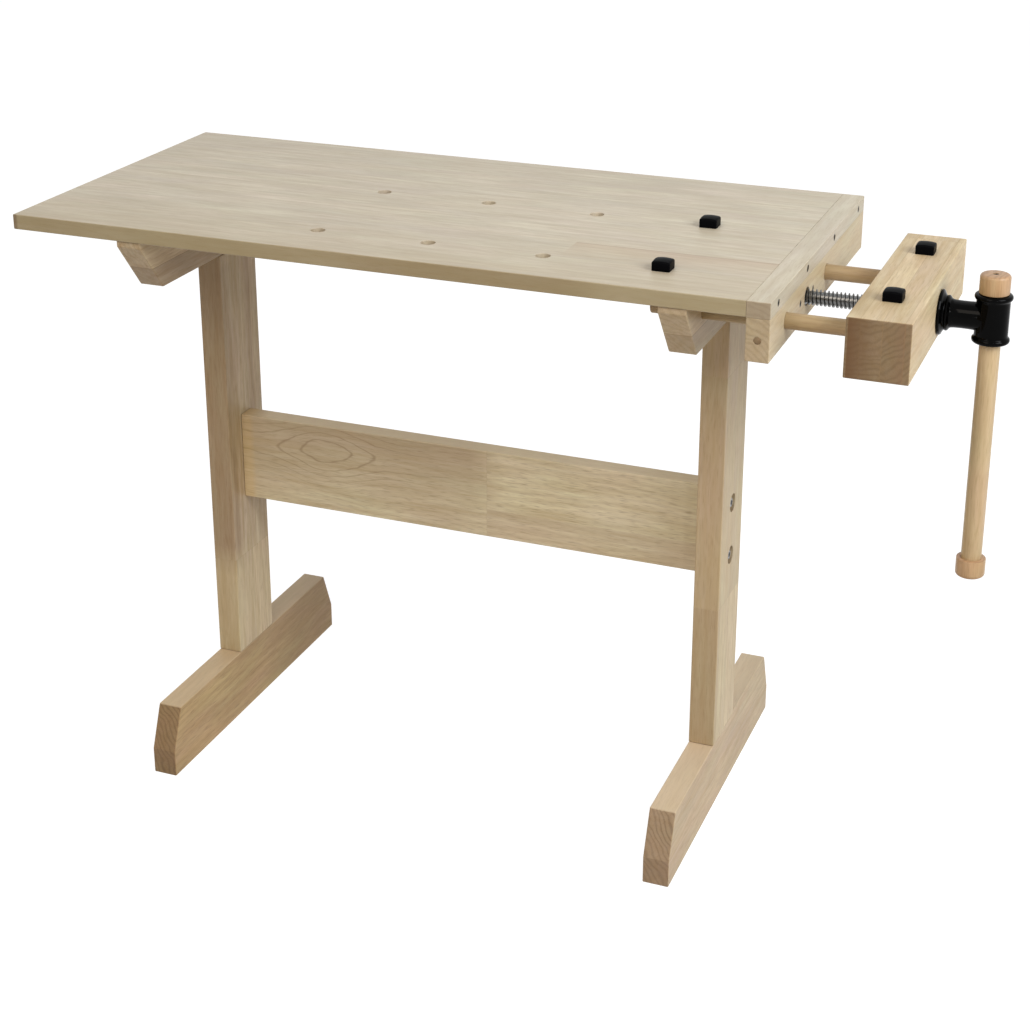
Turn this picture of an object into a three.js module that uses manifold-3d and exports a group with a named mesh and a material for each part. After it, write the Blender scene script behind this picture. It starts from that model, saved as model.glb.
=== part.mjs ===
// A small woodworking bench with an end vise: a glued-up top with two rows of dog holes stands on
// two I-shaped leg frames tied by one stretcher, and a wooden jaw on two guide rods is drawn in
// and out by a steel screw with a sliding wooden handle.
//
// Millimetres, +Z up, floor at z = 0. X runs along the bench towards the vise, Y from front to back.
// Pieces are placed from the left end of the top, and the whole bench is then centred on the origin.

import * as THREE from 'three';
import { mergeVertices } from 'three/addons/utils/BufferGeometryUtils.js';
import Module from 'manifold-3d';

// Driving dimensions: bench top
const benchHeight = 806;
const topDepth = 500;
const topThickness = 20;
const slabLength = 988;
const capWidth = 29;
const capHeight = 73;
const capScrewSpacing = 143;
const capScrewCount = 4;
const plugDiameter = 9;
const plugLength = 12;

// Driving dimensions: dog holes and dogs
const dogHoleDiameter = 19;
const dogHolePitch = 153;
const dogHolesPerRow = 4;
const lastDogHoleX = 864;
const dogRowOffset = 100;
const dogHeadSize = 23;
const dogHeadHeight = 13;
const dogShankDiameter = 18.4;
const dogShankLength = 26;

// Driving dimensions: leg frames and stretcher
const legThickness = 35;
const leftLegX = 171.5;
const rightLegX = 899.5;
const footLength = 494;
const footHeight = 98;
const toeHeight = 38;
const toeInset = 24;
const postWidth = 100;
const bearerHeight = 73;
const bearerNose = 8;
const bearerSlant = 50;
const stretcherHeight = 128;
const stretcherThickness = 28;
const stretcherCentreZ = 402;

// Driving dimensions: joinery and fasteners of the frame
const dowelDiameter = 12;
const dowelLength = 60;
const dowelOffset = 28;
const boltDiameter = 8;
const boltLength = 85;
const boltHeadAcrossFlats = 13;
const boltHeadHeight = 5.3;
const boltOffset = 38;
const boltRecessDiameter = 25;
const boltRecessDepth = 12;
const washerDiameter = 20;
const washerThickness = 1.6;
const barrelNutDiameter = 14;
const barrelNutLength = 22;
const barrelNutInset = 40;
const topScrewOffset = 125;
const topScrewRecess = 40;
const topScrewRecessDiameter = 16;

// Driving dimensions: end vise
const viseY = -70;
const jawOpening = 85.5;
const jawThickness = 75;
const jawLength = 360;
const jawHeight = 73;
const jawDrop = 5;
const screwDrop = 46;
const rodDiameter = 20;
const rodRise = 1.5;
const rodOffset = 103;
const rodLength = 300;
const rodSocketDepth = 50;
const screwDiameter = 20;
const screwRootDiameter = 14.5;
const screwPitch = 5;
const screwThreadLength = 185;
const screwHoleDiameter = 24;
const shankDiameter = 16;
const flangeDiameter = 55;
const neckDiameter = 35;
const neckBoreDepth = 34;
const hubReach = 62;
const hubDiameter = 40;
const hubCollarDiameter = 45;
const hubCollarHeight = 11;
const hubHeight = 60;
const handleLength = 389;
const handleDiameter = 25;
const knobDiameter = 36;
const knobHeight = 24;
const knobSocketDepth = 14;

// Driving dimensions: screws and small metal pieces
const capScrew = { head: 8.5, headHeight: 4, diameter: 4.5, length: 59.7 };
const topScrew = { head: 12, headHeight: 5, diameter: 6, length: 50 };
const nutScrew = { head: 8.5, headHeight: 4, diameter: 5, length: 36 };
const knobScrew = { head: 7, headHeight: 3, diameter: 3.5, length: 34 };
const nut = { barrelDiameter: 34, barrelLength: 20, plateLength: 90, plateHeight: 32, plateThickness: 4 };
const nutScrewOffset = 32;
const collar = { diameter: 30, length: 10, recessDiameter: 32, recessDepth: 14, inset: 2 };
const pin = { diameter: 5, length: 34, x: 24 };

// The clearance between pieces that touch, and the play of pieces that run in each other
const gap = 0.3;
const runningGap = 0.6;

// Sizes that follow from the driving dimensions
const capOuterX = slabLength + capWidth;
const jawInnerX = capOuterX + jawOpening;
const jawOuterX = jawInnerX + jawThickness;
const hubX = jawOuterX + hubReach;
const overallLength = hubX + hubCollarDiameter / 2;
const screwZ = benchHeight - screwDrop;
const undersideZ = benchHeight - topThickness;
const bearerBottomZ = undersideZ - bearerHeight;
const jawTopZ = benchHeight - jawDrop;

const wasm = await Module();
wasm.setup();

// Colours, roughness and metalness of the finishes
const finishes = {
  paleWood: [0xc9b997, 0.6, 0],
  topWood: [0xcbbfa9, 0.55, 0],
  jawWood: [0xc2ab83, 0.6, 0],
  turnedWood: [0xc8a878, 0.5, 0],
  steel: [0x9a9a98, 0.35, 1],
  darkSteel: [0x5c5c5a, 0.4, 1],
  blackIron: [0x0b0b0c, 0.25, 0.6],
  blackPlastic: [0x161616, 0.45, 0],
};

function mesh(name, geometry, finish) {
  const [color, roughness, metalness] = finishes[finish];
  const piece = new THREE.Mesh(geometry, new THREE.MeshStandardMaterial({ color, roughness, metalness }));
  piece.name = name;
  return piece;
}

// Turns a closed geometry into a solid, without the collapsed triangles at a lathe's poles.
function toSolid(geometry) {
  const bare = geometry.clone();
  bare.deleteAttribute('normal');
  bare.deleteAttribute('uv');
  const merged = mergeVertices(bare, 1e-4);
  const corners = Array.from(merged.index.array);
  const triangles = [];
  for (let i = 0; i < corners.length; i += 3) {
    const [a, b, c] = corners.slice(i, i + 3);
    if (a !== b && b !== c && c !== a) triangles.push(a, b, c);
  }
  return new wasm.Manifold(new wasm.Mesh({
    numProp: 3,
    vertProperties: new Float32Array(merged.attributes.position.array),
    triVerts: new Uint32Array(triangles),
  }));
}

function toGeometry(solid) {
  const { vertProperties, triVerts } = solid.getMesh();
  const geometry = new THREE.BufferGeometry();
  geometry.setAttribute('position', new THREE.BufferAttribute(vertProperties, 3));
  geometry.setIndex(new THREE.BufferAttribute(triVerts, 1));
  geometry.computeVertexNormals();
  return geometry;
}

function carve(blank, cutters) {
  return toGeometry(cutters.reduce((solid, cutter) => solid.subtract(toSolid(cutter)), toSolid(blank)));
}

function join(pieces) {
  return toGeometry(pieces.map(toSolid).reduce((solid, piece) => solid.add(piece)));
}

// Turns a shape made along +Y so that it runs along the given axis.
function along(geometry, axis) {
  if (axis === 'x') geometry.rotateZ(-Math.PI / 2);
  if (axis === 'z') geometry.rotateX(Math.PI / 2);
  return geometry;
}

function box(width, depth, height, x = 0, y = 0, z = 0) {
  return new THREE.BoxGeometry(width, depth, height).translate(x, y, z);
}

function cylinder(diameter, length, axis, x = 0, y = 0, z = 0, sides = 16) {
  const geometry = new THREE.CylinderGeometry(diameter / 2, diameter / 2, length, sides);
  return along(geometry, axis).translate(x, y, z);
}

// A turned shape: the profile is a list of [radius, height] points from one end of the axis to the other.
function turned(profile, axis, sides = 16) {
  const points = profile.map(([radius, height]) => new THREE.Vector2(radius, height));
  return along(new THREE.LatheGeometry(points, sides), axis);
}

// A board whose outline is given as [y, z] points and whose thickness runs along X.
function outlineBoard(outline, thickness) {
  const shape = new THREE.Shape(outline.map(([y, z]) => new THREE.Vector2(y, z)));
  const geometry = new THREE.ExtrudeGeometry(shape, { depth: thickness, bevelEnabled: false });
  geometry.translate(0, 0, -thickness / 2);
  geometry.rotateX(Math.PI / 2);
  return geometry.rotateZ(Math.PI / 2);
}

// Positions of an evenly spaced row, centred on zero.
function evenRow(count, spacing) {
  return Array.from({ length: count }, (_, i) => (i - (count - 1) / 2) * spacing);
}

function placed(piece, x, y, z) {
  piece.position.set(x, y, z);
  return piece;
}

function groupOf(pieces, x = 0, y = 0, z = 0) {
  const group = new THREE.Group();
  group.add(...pieces);
  return placed(group, x, y, z);
}

// A screw along the axis, with its head's outer face at zero and its point on the negative side.
function woodScrew({ head, headHeight, diameter, length }, axis) {
  const profile = [
    [0, -length],
    [diameter / 2, diameter - length],
    [diameter / 2, -headHeight],
    [head / 2, -headHeight / 4],
    [head / 2, 0],
    [0, 0],
  ];
  return toGeometry(toSolid(turned(profile, axis, 12)));
}

// The rows of dog holes, as [x, y] of each hole, from the vise end to the left.
function dogHolePlaces() {
  const places = [];
  for (const rowY of [viseY - dogRowOffset, viseY + dogRowOffset]) {
    for (let i = 0; i < dogHolesPerRow; i += 1) places.push([lastDogHoleX - i * dogHolePitch, rowY]);
  }
  return places;
}

// The bench top

function benchTop() {
  const middleZ = -topThickness / 2;
  const apronTop = -topThickness - gap;
  const apronHeight = capHeight - topThickness - gap;
  const apronZ = apronTop - apronHeight / 2;
  const capX = slabLength + (capWidth + gap) / 2;
  const capThickness = capWidth - gap;
  const screwRow = evenRow(capScrewCount, capScrewSpacing);
  const screwHeadX = capOuterX - gap;
  const screwBore = (y) => cylinder(capScrew.diameter + 2 * gap, capScrew.length + 2 * gap, 'x',
    screwHeadX - capScrew.length / 2, y, middleZ, 12);

  const dogHoles = dogHolePlaces().map(([x, y]) => cylinder(
    dogHoleDiameter, 2 * topThickness, 'z', x, y, middleZ, 24));
  const topScrewDepth = topScrew.length - topScrew.headHeight - (bearerHeight - topScrewRecess) + 2 * gap;
  const topScrewZ = topScrewDepth / 2 - topThickness;
  const topScrewBores = [leftLegX, rightLegX].flatMap((x) => [-topScrewOffset, topScrewOffset].map(
    (y) => cylinder(topScrew.diameter + 2 * gap, topScrewDepth, 'z', x, y, topScrewZ, 12)));
  const slab = carve(box(slabLength, topDepth, topThickness, slabLength / 2, 0, middleZ),
    [...dogHoles, ...topScrewBores, ...screwRow.map(screwBore)]);

  const headRecess = capScrew.headHeight + 2 * gap;
  const headHole = (y) => cylinder(capScrew.head + 2 * gap, 2 * headRecess, 'x', capOuterX, y, middleZ, 12);
  const cap = carve(box(capThickness, topDepth, topThickness, capX, 0, middleZ),
    screwRow.flatMap((y) => [screwBore(y), headHole(y)]));

  const rodHoles = [-rodOffset, rodOffset].map((offset) => cylinder(
    rodDiameter + 2 * runningGap, 2 * capWidth, 'x', capX, viseY + offset, rodRise - screwDrop, 24));
  const screwHole = cylinder(screwHoleDiameter, 2 * capWidth, 'x', capX, viseY, -screwDrop, 24);
  const nutHole = cylinder(nut.barrelDiameter + 2 * gap, 2 * (nut.barrelLength + gap), 'x',
    slabLength + gap, viseY, -screwDrop, 24);
  const nutScrewHoles = [-nutScrewOffset, nutScrewOffset].flatMap((offset) => [
    cylinder(nutScrew.diameter + 2 * gap, 3 * capWidth, 'x', capX, viseY + offset, -screwDrop, 12),
    cylinder(nutScrew.head + 2 * gap, 2 * headRecess, 'x', capOuterX, viseY + offset, -screwDrop, 12),
  ]);
  const plugHole = cylinder(plugDiameter + 2 * gap, 2 * (plugLength + gap), 'y',
    capX, -topDepth / 2, apronZ);
  const apron = carve(box(capThickness, topDepth, apronHeight, capX, 0, apronZ),
    [...rodHoles, screwHole, nutHole, ...nutScrewHoles, plugHole]);

  const screws = screwRow.map((y, i) => placed(
    mesh(`end_cap_screw_${i + 1}`, woodScrew(capScrew, 'x'), 'darkSteel'), screwHeadX, y, middleZ));
  const plug = cylinder(plugDiameter, plugLength, 'y', capX, -(topDepth - plugLength) / 2, apronZ);

  return groupOf([
    mesh('bench_top', slab, 'topWood'),
    mesh('end_cap', cap, 'topWood'),
    mesh('vise_apron', apron, 'paleWood'),
    mesh('apron_plug', plug, 'turnedWood'),
    ...screws,
  ], 0, 0, benchHeight);
}

// A leg frame: a foot, a post and a bearer under the top, joined by dowels

function legFrame(side, legX) {
  const half = footLength / 2;
  const postBottom = footHeight + gap;
  const postTop = bearerBottomZ - gap;
  const postHeight = postTop - postBottom;
  const postZ = (postTop + postBottom) / 2;
  const outward = side === 'left' ? -1 : 1;
  const dowelHole = (y, z) => cylinder(dowelDiameter + 2 * gap, dowelLength + 2 * gap, 'z', 0, y, z);
  const dowelPair = [-dowelOffset, dowelOffset];

  const footOutline = [
    [-half, 0], [half, 0], [half, toeHeight], [half - toeInset, footHeight],
    [toeInset - half, footHeight], [-half, toeHeight],
  ];
  const foot = carve(outlineBoard(footOutline, legThickness),
    dowelPair.map((y) => dowelHole(y, footHeight)));

  const bearerTop = undersideZ - gap;
  const noseZ = bearerTop - bearerNose;
  const bearerOutline = [
    [bearerSlant - half, bearerBottomZ], [half - bearerSlant, bearerBottomZ],
    [half, noseZ], [half, bearerTop], [-half, bearerTop], [-half, noseZ],
  ];
  const screwHoles = [-topScrewOffset, topScrewOffset].flatMap((y) => [
    cylinder(topScrew.diameter + 2 * gap, 3 * bearerHeight, 'z', 0, y, bearerTop, 12),
    cylinder(topScrewRecessDiameter, 2 * topScrewRecess, 'z', 0, y, bearerBottomZ),
  ]);
  const viseHoles = [
    cylinder(screwHoleDiameter, 2 * legThickness, 'x', 0, viseY, screwZ, 24),
    ...[-rodOffset, rodOffset].map((offset) => cylinder(
      rodDiameter + 2 * runningGap, 2 * legThickness, 'x', 0, viseY + offset, screwZ + rodRise, 24)),
  ];
  const bearer = carve(outlineBoard(bearerOutline, legThickness), [
    ...dowelPair.map((y) => dowelHole(y, bearerBottomZ)),
    ...screwHoles,
    ...(side === 'right' ? viseHoles : []),
  ]);

  const boltHoles = [-boltOffset, boltOffset].flatMap((offset) => [
    cylinder(boltDiameter + 2 * gap, 2 * legThickness, 'x', 0, 0, stretcherCentreZ + offset),
    cylinder(boltRecessDiameter, 2 * boltRecessDepth, 'x', outward * legThickness / 2, 0,
      stretcherCentreZ + offset, 24),
  ]);
  const post = carve(box(legThickness, postWidth, postHeight, 0, 0, postZ), [
    ...dowelPair.flatMap((y) => [dowelHole(y, footHeight), dowelHole(y, bearerBottomZ)]),
    ...boltHoles,
  ]);

  const dowels = [['foot', footHeight], ['bearer', bearerBottomZ]].flatMap(([joint, z]) => dowelPair.map(
    (y, i) => mesh(`${side}_${joint}_dowel_${i + 1}`,
      cylinder(dowelDiameter, dowelLength, 'z', 0, y, z), 'turnedWood')));
  const screwHeadZ = bearerBottomZ + topScrewRecess - topScrew.headHeight - gap;
  const screws = [['front', -topScrewOffset], ['rear', topScrewOffset]].map(([place, y]) => {
    const screw = woodScrew(topScrew, 'z').rotateX(Math.PI);
    return placed(mesh(`top_screw_${side}_${place}`, screw, 'darkSteel'), 0, y, screwHeadZ);
  });

  return groupOf([
    mesh(`${side}_foot`, foot, 'paleWood'),
    mesh(`${side}_post`, post, 'paleWood'),
    mesh(`${side}_bearer`, bearer, 'paleWood'),
    ...dowels,
    ...screws,
  ], legX, 0, 0);
}

// The stretcher between the posts, with a bolt, washer and barrel nut at each end, top and bottom

function stretcherAssembly() {
  const innerLeft = leftLegX + legThickness / 2;
  const innerRight = rightLegX - legThickness / 2;
  const length = innerRight - innerLeft - 2 * gap;
  const centreX = (innerLeft + innerRight) / 2;
  const corners = [['left', -1], ['right', 1]].flatMap(([side, outward]) => (
    [['upper', 1], ['lower', -1]].map(
      ([level, up]) => ({ name: `${side}_${level}`, outward, z: up * boltOffset }))));

  const seatX = length / 2 + gap + legThickness - boltRecessDepth;
  const headX = seatX + gap + washerThickness + gap;
  const boltTip = headX - boltLength;
  const boreStart = boltTip - 4;
  const nutX = length / 2 - barrelNutInset;
  const nutY = (stretcherThickness - barrelNutLength) / 2 - 2;
  const nutBoreLength = stretcherThickness / 2 - nutY + barrelNutLength / 2 + gap;
  const nutBoreY = nutY - barrelNutLength / 2 - gap + nutBoreLength / 2;

  const bores = corners.flatMap(({ outward, z }) => [
    cylinder(boltDiameter + 2 * gap, length / 2 + 1 - boreStart, 'x',
      outward * (length / 2 + 1 + boreStart) / 2, 0, z),
    cylinder(barrelNutDiameter + 2 * gap, nutBoreLength + 1, 'y', outward * nutX, nutBoreY + 0.5, z),
  ]);
  const board = carve(box(length, stretcherThickness, stretcherHeight), bores);

  const headRadius = boltHeadAcrossFlats / Math.sqrt(3);
  const headMiddle = headX + boltHeadHeight / 2;
  const shankMiddle = headX + 1 - (boltLength + 1) / 2;
  const washerX = seatX + gap + washerThickness / 2;
  const hardware = corners.flatMap(({ name, outward, z }) => {
    const head = cylinder(2 * headRadius, boltHeadHeight, 'x', outward * headMiddle, 0, 0, 6);
    const shank = cylinder(boltDiameter, boltLength + 1, 'x', outward * shankMiddle);
    const washer = carve(cylinder(washerDiameter, washerThickness, 'x', 0, 0, 0, 24),
      [cylinder(boltDiameter + 2 * gap, 2 * washerThickness, 'x')]);
    const barrel = carve(cylinder(barrelNutDiameter, barrelNutLength, 'y'),
      [cylinder(boltDiameter + 2 * gap, 2 * barrelNutDiameter, 'x', 0, -nutY)]);
    return [
      placed(mesh(`stretcher_bolt_${name}`, join([head, shank]), 'steel'), 0, 0, z),
      placed(mesh(`bolt_washer_${name}`, washer, 'steel'), outward * washerX, 0, z),
      placed(mesh(`barrel_nut_${name}`, barrel, 'steel'), outward * nutX, nutY, z),
    ];
  });

  return groupOf([mesh('stretcher', board, 'paleWood'), ...hardware], centreX, 0, stretcherCentreZ);
}

// The vise nut: a flanged casting let into the apron from behind, held by two screws from the front

function viseNut() {
  const straight = nut.plateLength - nut.plateHeight;
  const radius = nut.plateHeight / 2;
  const shape = new THREE.Shape();
  shape.absarc(straight / 2, 0, radius, -Math.PI / 2, Math.PI / 2, false);
  shape.absarc(-straight / 2, 0, radius, Math.PI / 2, 1.5 * Math.PI, false);
  const extrusion = { depth: nut.plateThickness, bevelEnabled: false, curveSegments: 8 };
  const plate = new THREE.ExtrudeGeometry(shape, extrusion);
  plate.rotateX(Math.PI / 2);
  plate.rotateZ(Math.PI / 2);
  plate.translate(-nut.plateThickness, 0, 0);
  const barrelX = (nut.barrelLength - 1) / 2;
  const barrel = cylinder(nut.barrelDiameter, nut.barrelLength + 1, 'x', barrelX, 0, 0, 24);
  const bore = cylinder(screwDiameter + 2 * runningGap, 4 * nut.barrelLength, 'x', 0, 0, 0, 24);
  const offsets = [-nutScrewOffset, nutScrewOffset];
  const holes = offsets.map((y) => cylinder(nutScrew.diameter + 2 * gap, 20, 'x', 0, y, 0, 12));
  const casting = carve(join([plate, barrel]), [bore, ...holes]);
  const headX = capWidth - gap;
  const screws = offsets.map((y, i) => placed(
    mesh(`nut_screw_${i + 1}`, woodScrew(nutScrew, 'x'), 'darkSteel'), headX, y, 0));
  return groupOf([mesh('vise_nut', casting, 'darkSteel'), ...screws], slabLength, viseY, screwZ);
}

// The sliding jaw with its two guide rods, placed from the middle of its inner face at screw height

function jaw() {
  const jawZ = jawTopZ - jawHeight / 2 - screwZ;
  const jawTop = jawTopZ - screwZ;
  const rodRow = [['front', -rodOffset], ['rear', rodOffset]];
  const dogDepth = dogShankLength + 2;
  const cutters = [
    cylinder(shankDiameter + 2 * runningGap, 3 * jawThickness, 'x'),
    cylinder(collar.recessDiameter, 2 * collar.recessDepth, 'x', 0, 0, 0, 24),
    ...rodRow.map(([, y]) => cylinder(
      rodDiameter + 2 * gap, 2 * (rodSocketDepth + gap), 'x', 0, y, rodRise, 24)),
    ...[-dogRowOffset, dogRowOffset].map((y) => cylinder(
      dogHoleDiameter, 2 * dogDepth, 'z', jawThickness / 2, y, jawTop, 24)),
  ];
  const block = carve(box(jawThickness, jawLength, jawHeight, jawThickness / 2, 0, jawZ), cutters);
  const rods = rodRow.map(([place, y]) => mesh(`guide_rod_${place}`,
    cylinder(rodDiameter, rodLength, 'x', rodSocketDepth - rodLength / 2, y, rodRise, 24), 'turnedWood'));
  return groupOf([mesh('vise_jaw', block, 'jawWood'), ...rods], jawInnerX, viseY, screwZ);
}

// A right-hand thread along +X: a cylinder whose surface is pushed in and out along a helix.
function threadedRod(length) {
  const rowsPerTurn = 4;
  const sides = 8;
  const rows = Math.round(length / screwPitch) * rowsPerTurn;
  const radius = screwDiameter / 2;
  const depth = (screwDiameter - screwRootDiameter) / 2;
  const geometry = new THREE.CylinderGeometry(radius, radius, length, sides, rows);
  const position = geometry.attributes.position;
  for (let i = 0; i < position.count; i += 1) {
    const x = position.getX(i);
    const z = position.getZ(i);
    const turn = position.getY(i) / screwPitch - Math.atan2(x, z) / (2 * Math.PI);
    const ramp = Math.abs(2 * (turn - Math.floor(turn)) - 1);
    const scale = 1 - depth / radius * THREE.MathUtils.clamp(1.5 - 2 * ramp, 0, 1);
    position.setX(i, x * scale);
    position.setZ(i, z * scale);
  }
  return along(geometry, 'x');
}

// The screw with its hub: the screw runs from behind the apron, through the jaw, into the hub's neck

function screwAndHub() {
  const threadEnd = -jawThickness - 3;
  const threadX = threadEnd - screwThreadLength / 2;
  const shankEnd = neckBoreDepth - 2;
  const shankStart = threadEnd - 5;
  const shank = cylinder(shankDiameter, shankEnd - shankStart, 'x', (shankEnd + shankStart) / 2, 0, 0, 24);
  const pinHole = cylinder(pin.diameter + 2 * gap, 2 * neckDiameter, 'y', pin.x);
  const screw = carve(join([threadedRod(screwThreadLength).translate(threadX, 0, 0), shank]), [pinHole]);

  const neckProfile = [
    [0, runningGap], [flangeDiameter / 2, runningGap], [flangeDiameter / 2, 3.5],
    [flangeDiameter / 2 - 4, 6], [neckDiameter / 2 + 1.5, 9], [neckDiameter / 2, 14],
    [neckDiameter / 2, hubReach], [0, hubReach],
  ];
  const body = hubDiameter / 2;
  const rim = hubCollarDiameter / 2;
  const top = hubHeight / 2;
  const shoulder = top - hubCollarHeight;
  const hubProfile = [
    [0, -top], [rim - 3, -top], [rim, 4 - top], [rim, 7 - top], [body, -shoulder],
    [body, shoulder], [rim, top - 7], [rim, top - 4], [rim - 3, top], [0, top],
  ];
  const neck = turned(neckProfile, 'x', 24);
  const barrel = turned(hubProfile, 'z', 24).translate(hubReach, 0, 0);
  const casting = join([neck, barrel]);
  const hub = carve(casting, [
    cylinder(handleDiameter + 2 * runningGap, 2 * hubHeight, 'z', hubReach, 0, 0, 24),
    cylinder(shankDiameter + 2 * gap, 2 * neckBoreDepth, 'x', 0, 0, 0, 24),
    pinHole,
  ]);

  const ring = carve(cylinder(collar.diameter, collar.length, 'x', 0, 0, 0, 24),
    [cylinder(shankDiameter + 2 * gap, 2 * collar.length, 'x', 0, 0, 0, 24)]);
  const ringX = collar.inset + collar.length / 2 - jawThickness;
  return groupOf([
    mesh('vise_screw', screw, 'steel'),
    mesh('handle_hub', hub, 'blackIron'),
    mesh('hub_pin', cylinder(pin.diameter, pin.length, 'y', pin.x), 'steel'),
    placed(mesh('retaining_collar', ring, 'darkSteel'), ringX, 0, 0),
  ], jawOuterX, viseY, screwZ);
}

// The handle: a bar that slides through the hub, with a knob screwed on each end, at its lowest position

function handle() {
  const topZ = hubHeight / 2 + gap;
  const bottomZ = topZ + 2 * knobHeight - handleLength;
  const barLength = topZ - bottomZ + 2 * (knobSocketDepth - gap);
  const barZ = (topZ + bottomZ) / 2;
  const screwBore = knobScrew.length - (knobHeight - knobSocketDepth) + 2;
  const bar = carve(cylinder(handleDiameter, barLength, 'z', 0, 0, 0, 24), [-1, 1].map((end) => cylinder(
    knobScrew.diameter + 2 * gap, 2 * screwBore, 'z', 0, 0, end * barLength / 2, 12)));

  const radius = knobDiameter / 2;
  const knobProfile = [
    [0, 0], [radius - 1.5, 0], [radius, 1.5], [radius, knobHeight - 5],
    [radius - 1.5, knobHeight - 1.5], [radius - 5, knobHeight], [0, knobHeight],
  ];
  const knob = () => carve(turned(knobProfile, 'z', 24), [
    cylinder(handleDiameter + 2 * gap, 2 * knobSocketDepth, 'z', 0, 0, 0, 24),
    cylinder(knobScrew.diameter + 2 * gap, 4 * knobHeight, 'z', 0, 0, 0, 12),
    cylinder(knobScrew.head + 2 * gap, 2 * (knobScrew.headHeight + gap), 'z', 0, 0, knobHeight, 12),
  ]);
  const screw = () => woodScrew(knobScrew, 'z').translate(0, 0, knobHeight - gap);

  return groupOf([
    placed(mesh('handle_bar', bar, 'turnedWood'), 0, 0, barZ),
    placed(mesh('handle_knob_top', knob(), 'turnedWood'), 0, 0, topZ),
    placed(mesh('handle_knob_bottom', knob().rotateX(Math.PI), 'turnedWood'), 0, 0, bottomZ),
    placed(mesh('knob_screw_top', screw(), 'darkSteel'), 0, 0, topZ),
    placed(mesh('knob_screw_bottom', screw().rotateX(Math.PI), 'darkSteel'), 0, 0, bottomZ),
  ], hubX, viseY, screwZ);
}

// The dogs: square heads on round shanks, two in the last holes of the top and two in the jaw

function benchDog(name, x, y, surfaceZ) {
  const edge = 2;
  const outline = new THREE.Shape();
  const reach = dogHeadSize / 2 - edge;
  outline.absarc(reach, reach, edge, 0, Math.PI / 2, false);
  outline.absarc(-reach, reach, edge, Math.PI / 2, Math.PI, false);
  outline.absarc(-reach, -reach, edge, Math.PI, 1.5 * Math.PI, false);
  outline.absarc(reach, -reach, edge, 1.5 * Math.PI, 2 * Math.PI, false);
  const extrusion = { depth: dogHeadHeight, bevelEnabled: false, curveSegments: 3 };
  const head = new THREE.ExtrudeGeometry(outline, extrusion);
  const shank = cylinder(dogShankDiameter, dogShankLength + 2, 'z', 0, 0, 1 - dogShankLength / 2, 24);
  return placed(mesh(name, join([head, shank]), 'blackPlastic'), x, y, surfaceZ + gap);
}

function dogs() {
  const jawMiddleX = jawInnerX + jawThickness / 2;
  return groupOf([['front', -dogRowOffset], ['rear', dogRowOffset]].flatMap(([place, offset]) => [
    benchDog(`bench_dog_${place}`, lastDogHoleX, viseY + offset, benchHeight),
    benchDog(`jaw_dog_${place}`, jawMiddleX, viseY + offset, jawTopZ),
  ]));
}

const bench = groupOf([
  benchTop(),
  legFrame('left', leftLegX),
  legFrame('right', rightLegX),
  stretcherAssembly(),
  viseNut(),
  jaw(),
  screwAndHub(),
  handle(),
  dogs(),
], -overallLength / 2, 0, 0);

export default bench;
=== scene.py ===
"""Dresses a small woodworking bench with an end vise.

The boards become eased planks of pale rubberwood with glue lines, pores and end grain, the vise gets a cut
thread and an enamelled hub, and the whole stands in a plain white studio at the photograph's viewpoint.
Lengths in the fields of the classes are in millimetres. Meshes and the boxes of CAD nodes are in metres.
"""

import logging
import math
from collections.abc import Sequence
from dataclasses import dataclass
from enum import Enum

import bmesh
import bpy
from bmesh.types import BMEdge, BMFace, BMVert
from bpy.types import ID, Material, Mesh, Node, NodeSocket, NodeTree, Object, World
from mathutils import Matrix, Vector


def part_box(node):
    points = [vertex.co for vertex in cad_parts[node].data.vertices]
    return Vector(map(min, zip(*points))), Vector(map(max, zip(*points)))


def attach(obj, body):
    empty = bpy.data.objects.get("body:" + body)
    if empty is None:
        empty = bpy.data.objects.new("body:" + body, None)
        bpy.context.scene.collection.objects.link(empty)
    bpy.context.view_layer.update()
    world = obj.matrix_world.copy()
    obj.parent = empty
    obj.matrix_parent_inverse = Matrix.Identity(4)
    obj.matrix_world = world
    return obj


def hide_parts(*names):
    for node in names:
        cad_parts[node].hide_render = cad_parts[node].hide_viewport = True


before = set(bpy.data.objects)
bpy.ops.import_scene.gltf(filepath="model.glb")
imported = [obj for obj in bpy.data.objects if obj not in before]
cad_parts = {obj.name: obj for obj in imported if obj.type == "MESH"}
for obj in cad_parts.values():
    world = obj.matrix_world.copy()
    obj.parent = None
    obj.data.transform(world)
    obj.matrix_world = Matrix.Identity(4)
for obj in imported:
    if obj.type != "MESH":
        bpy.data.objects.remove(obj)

MM = 0.001
TOUCH = 1e-6  # metres within which two points count as one
ROUND = 35.0  # degrees up to which turned and moulded surfaces are shaded round
SHARP = 0.4  # radians by which the surface turns at a sharp edge
FLUSH_EASE = 0.2  # millimetres by which an edge in a flush joint is eased
CELL = 1.4  # width of the square cell round a bore, in widths of the bore
LOG = logging.getLogger("bench")

Profile = Sequence[tuple[float, float]]  # points of a section
Place = tuple[float, float, float]  # a point of the bench's frame, in millimetres
Hole = tuple[float, float]  # the radius and the depth of a round hole, in millimetres


class Axis(Enum):
    """The three directions of the bench's frame."""

    X = (1.0, 0.0, 0.0)
    Y = (0.0, 1.0, 0.0)
    Z = (0.0, 0.0, 1.0)

    @property
    def vector(self) -> Vector:
        """The unit vector along this axis."""
        return Vector(self.value)

    def others(self) -> tuple[Vector, Vector]:
        """The two unit vectors square to this axis."""
        first, second = (axis.vector for axis in Axis if axis is not self)
        return first, second


class Carve(Enum):
    """What a form does to the one that it meets."""

    JOIN = "UNION"
    CUT = "DIFFERENCE"


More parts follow.
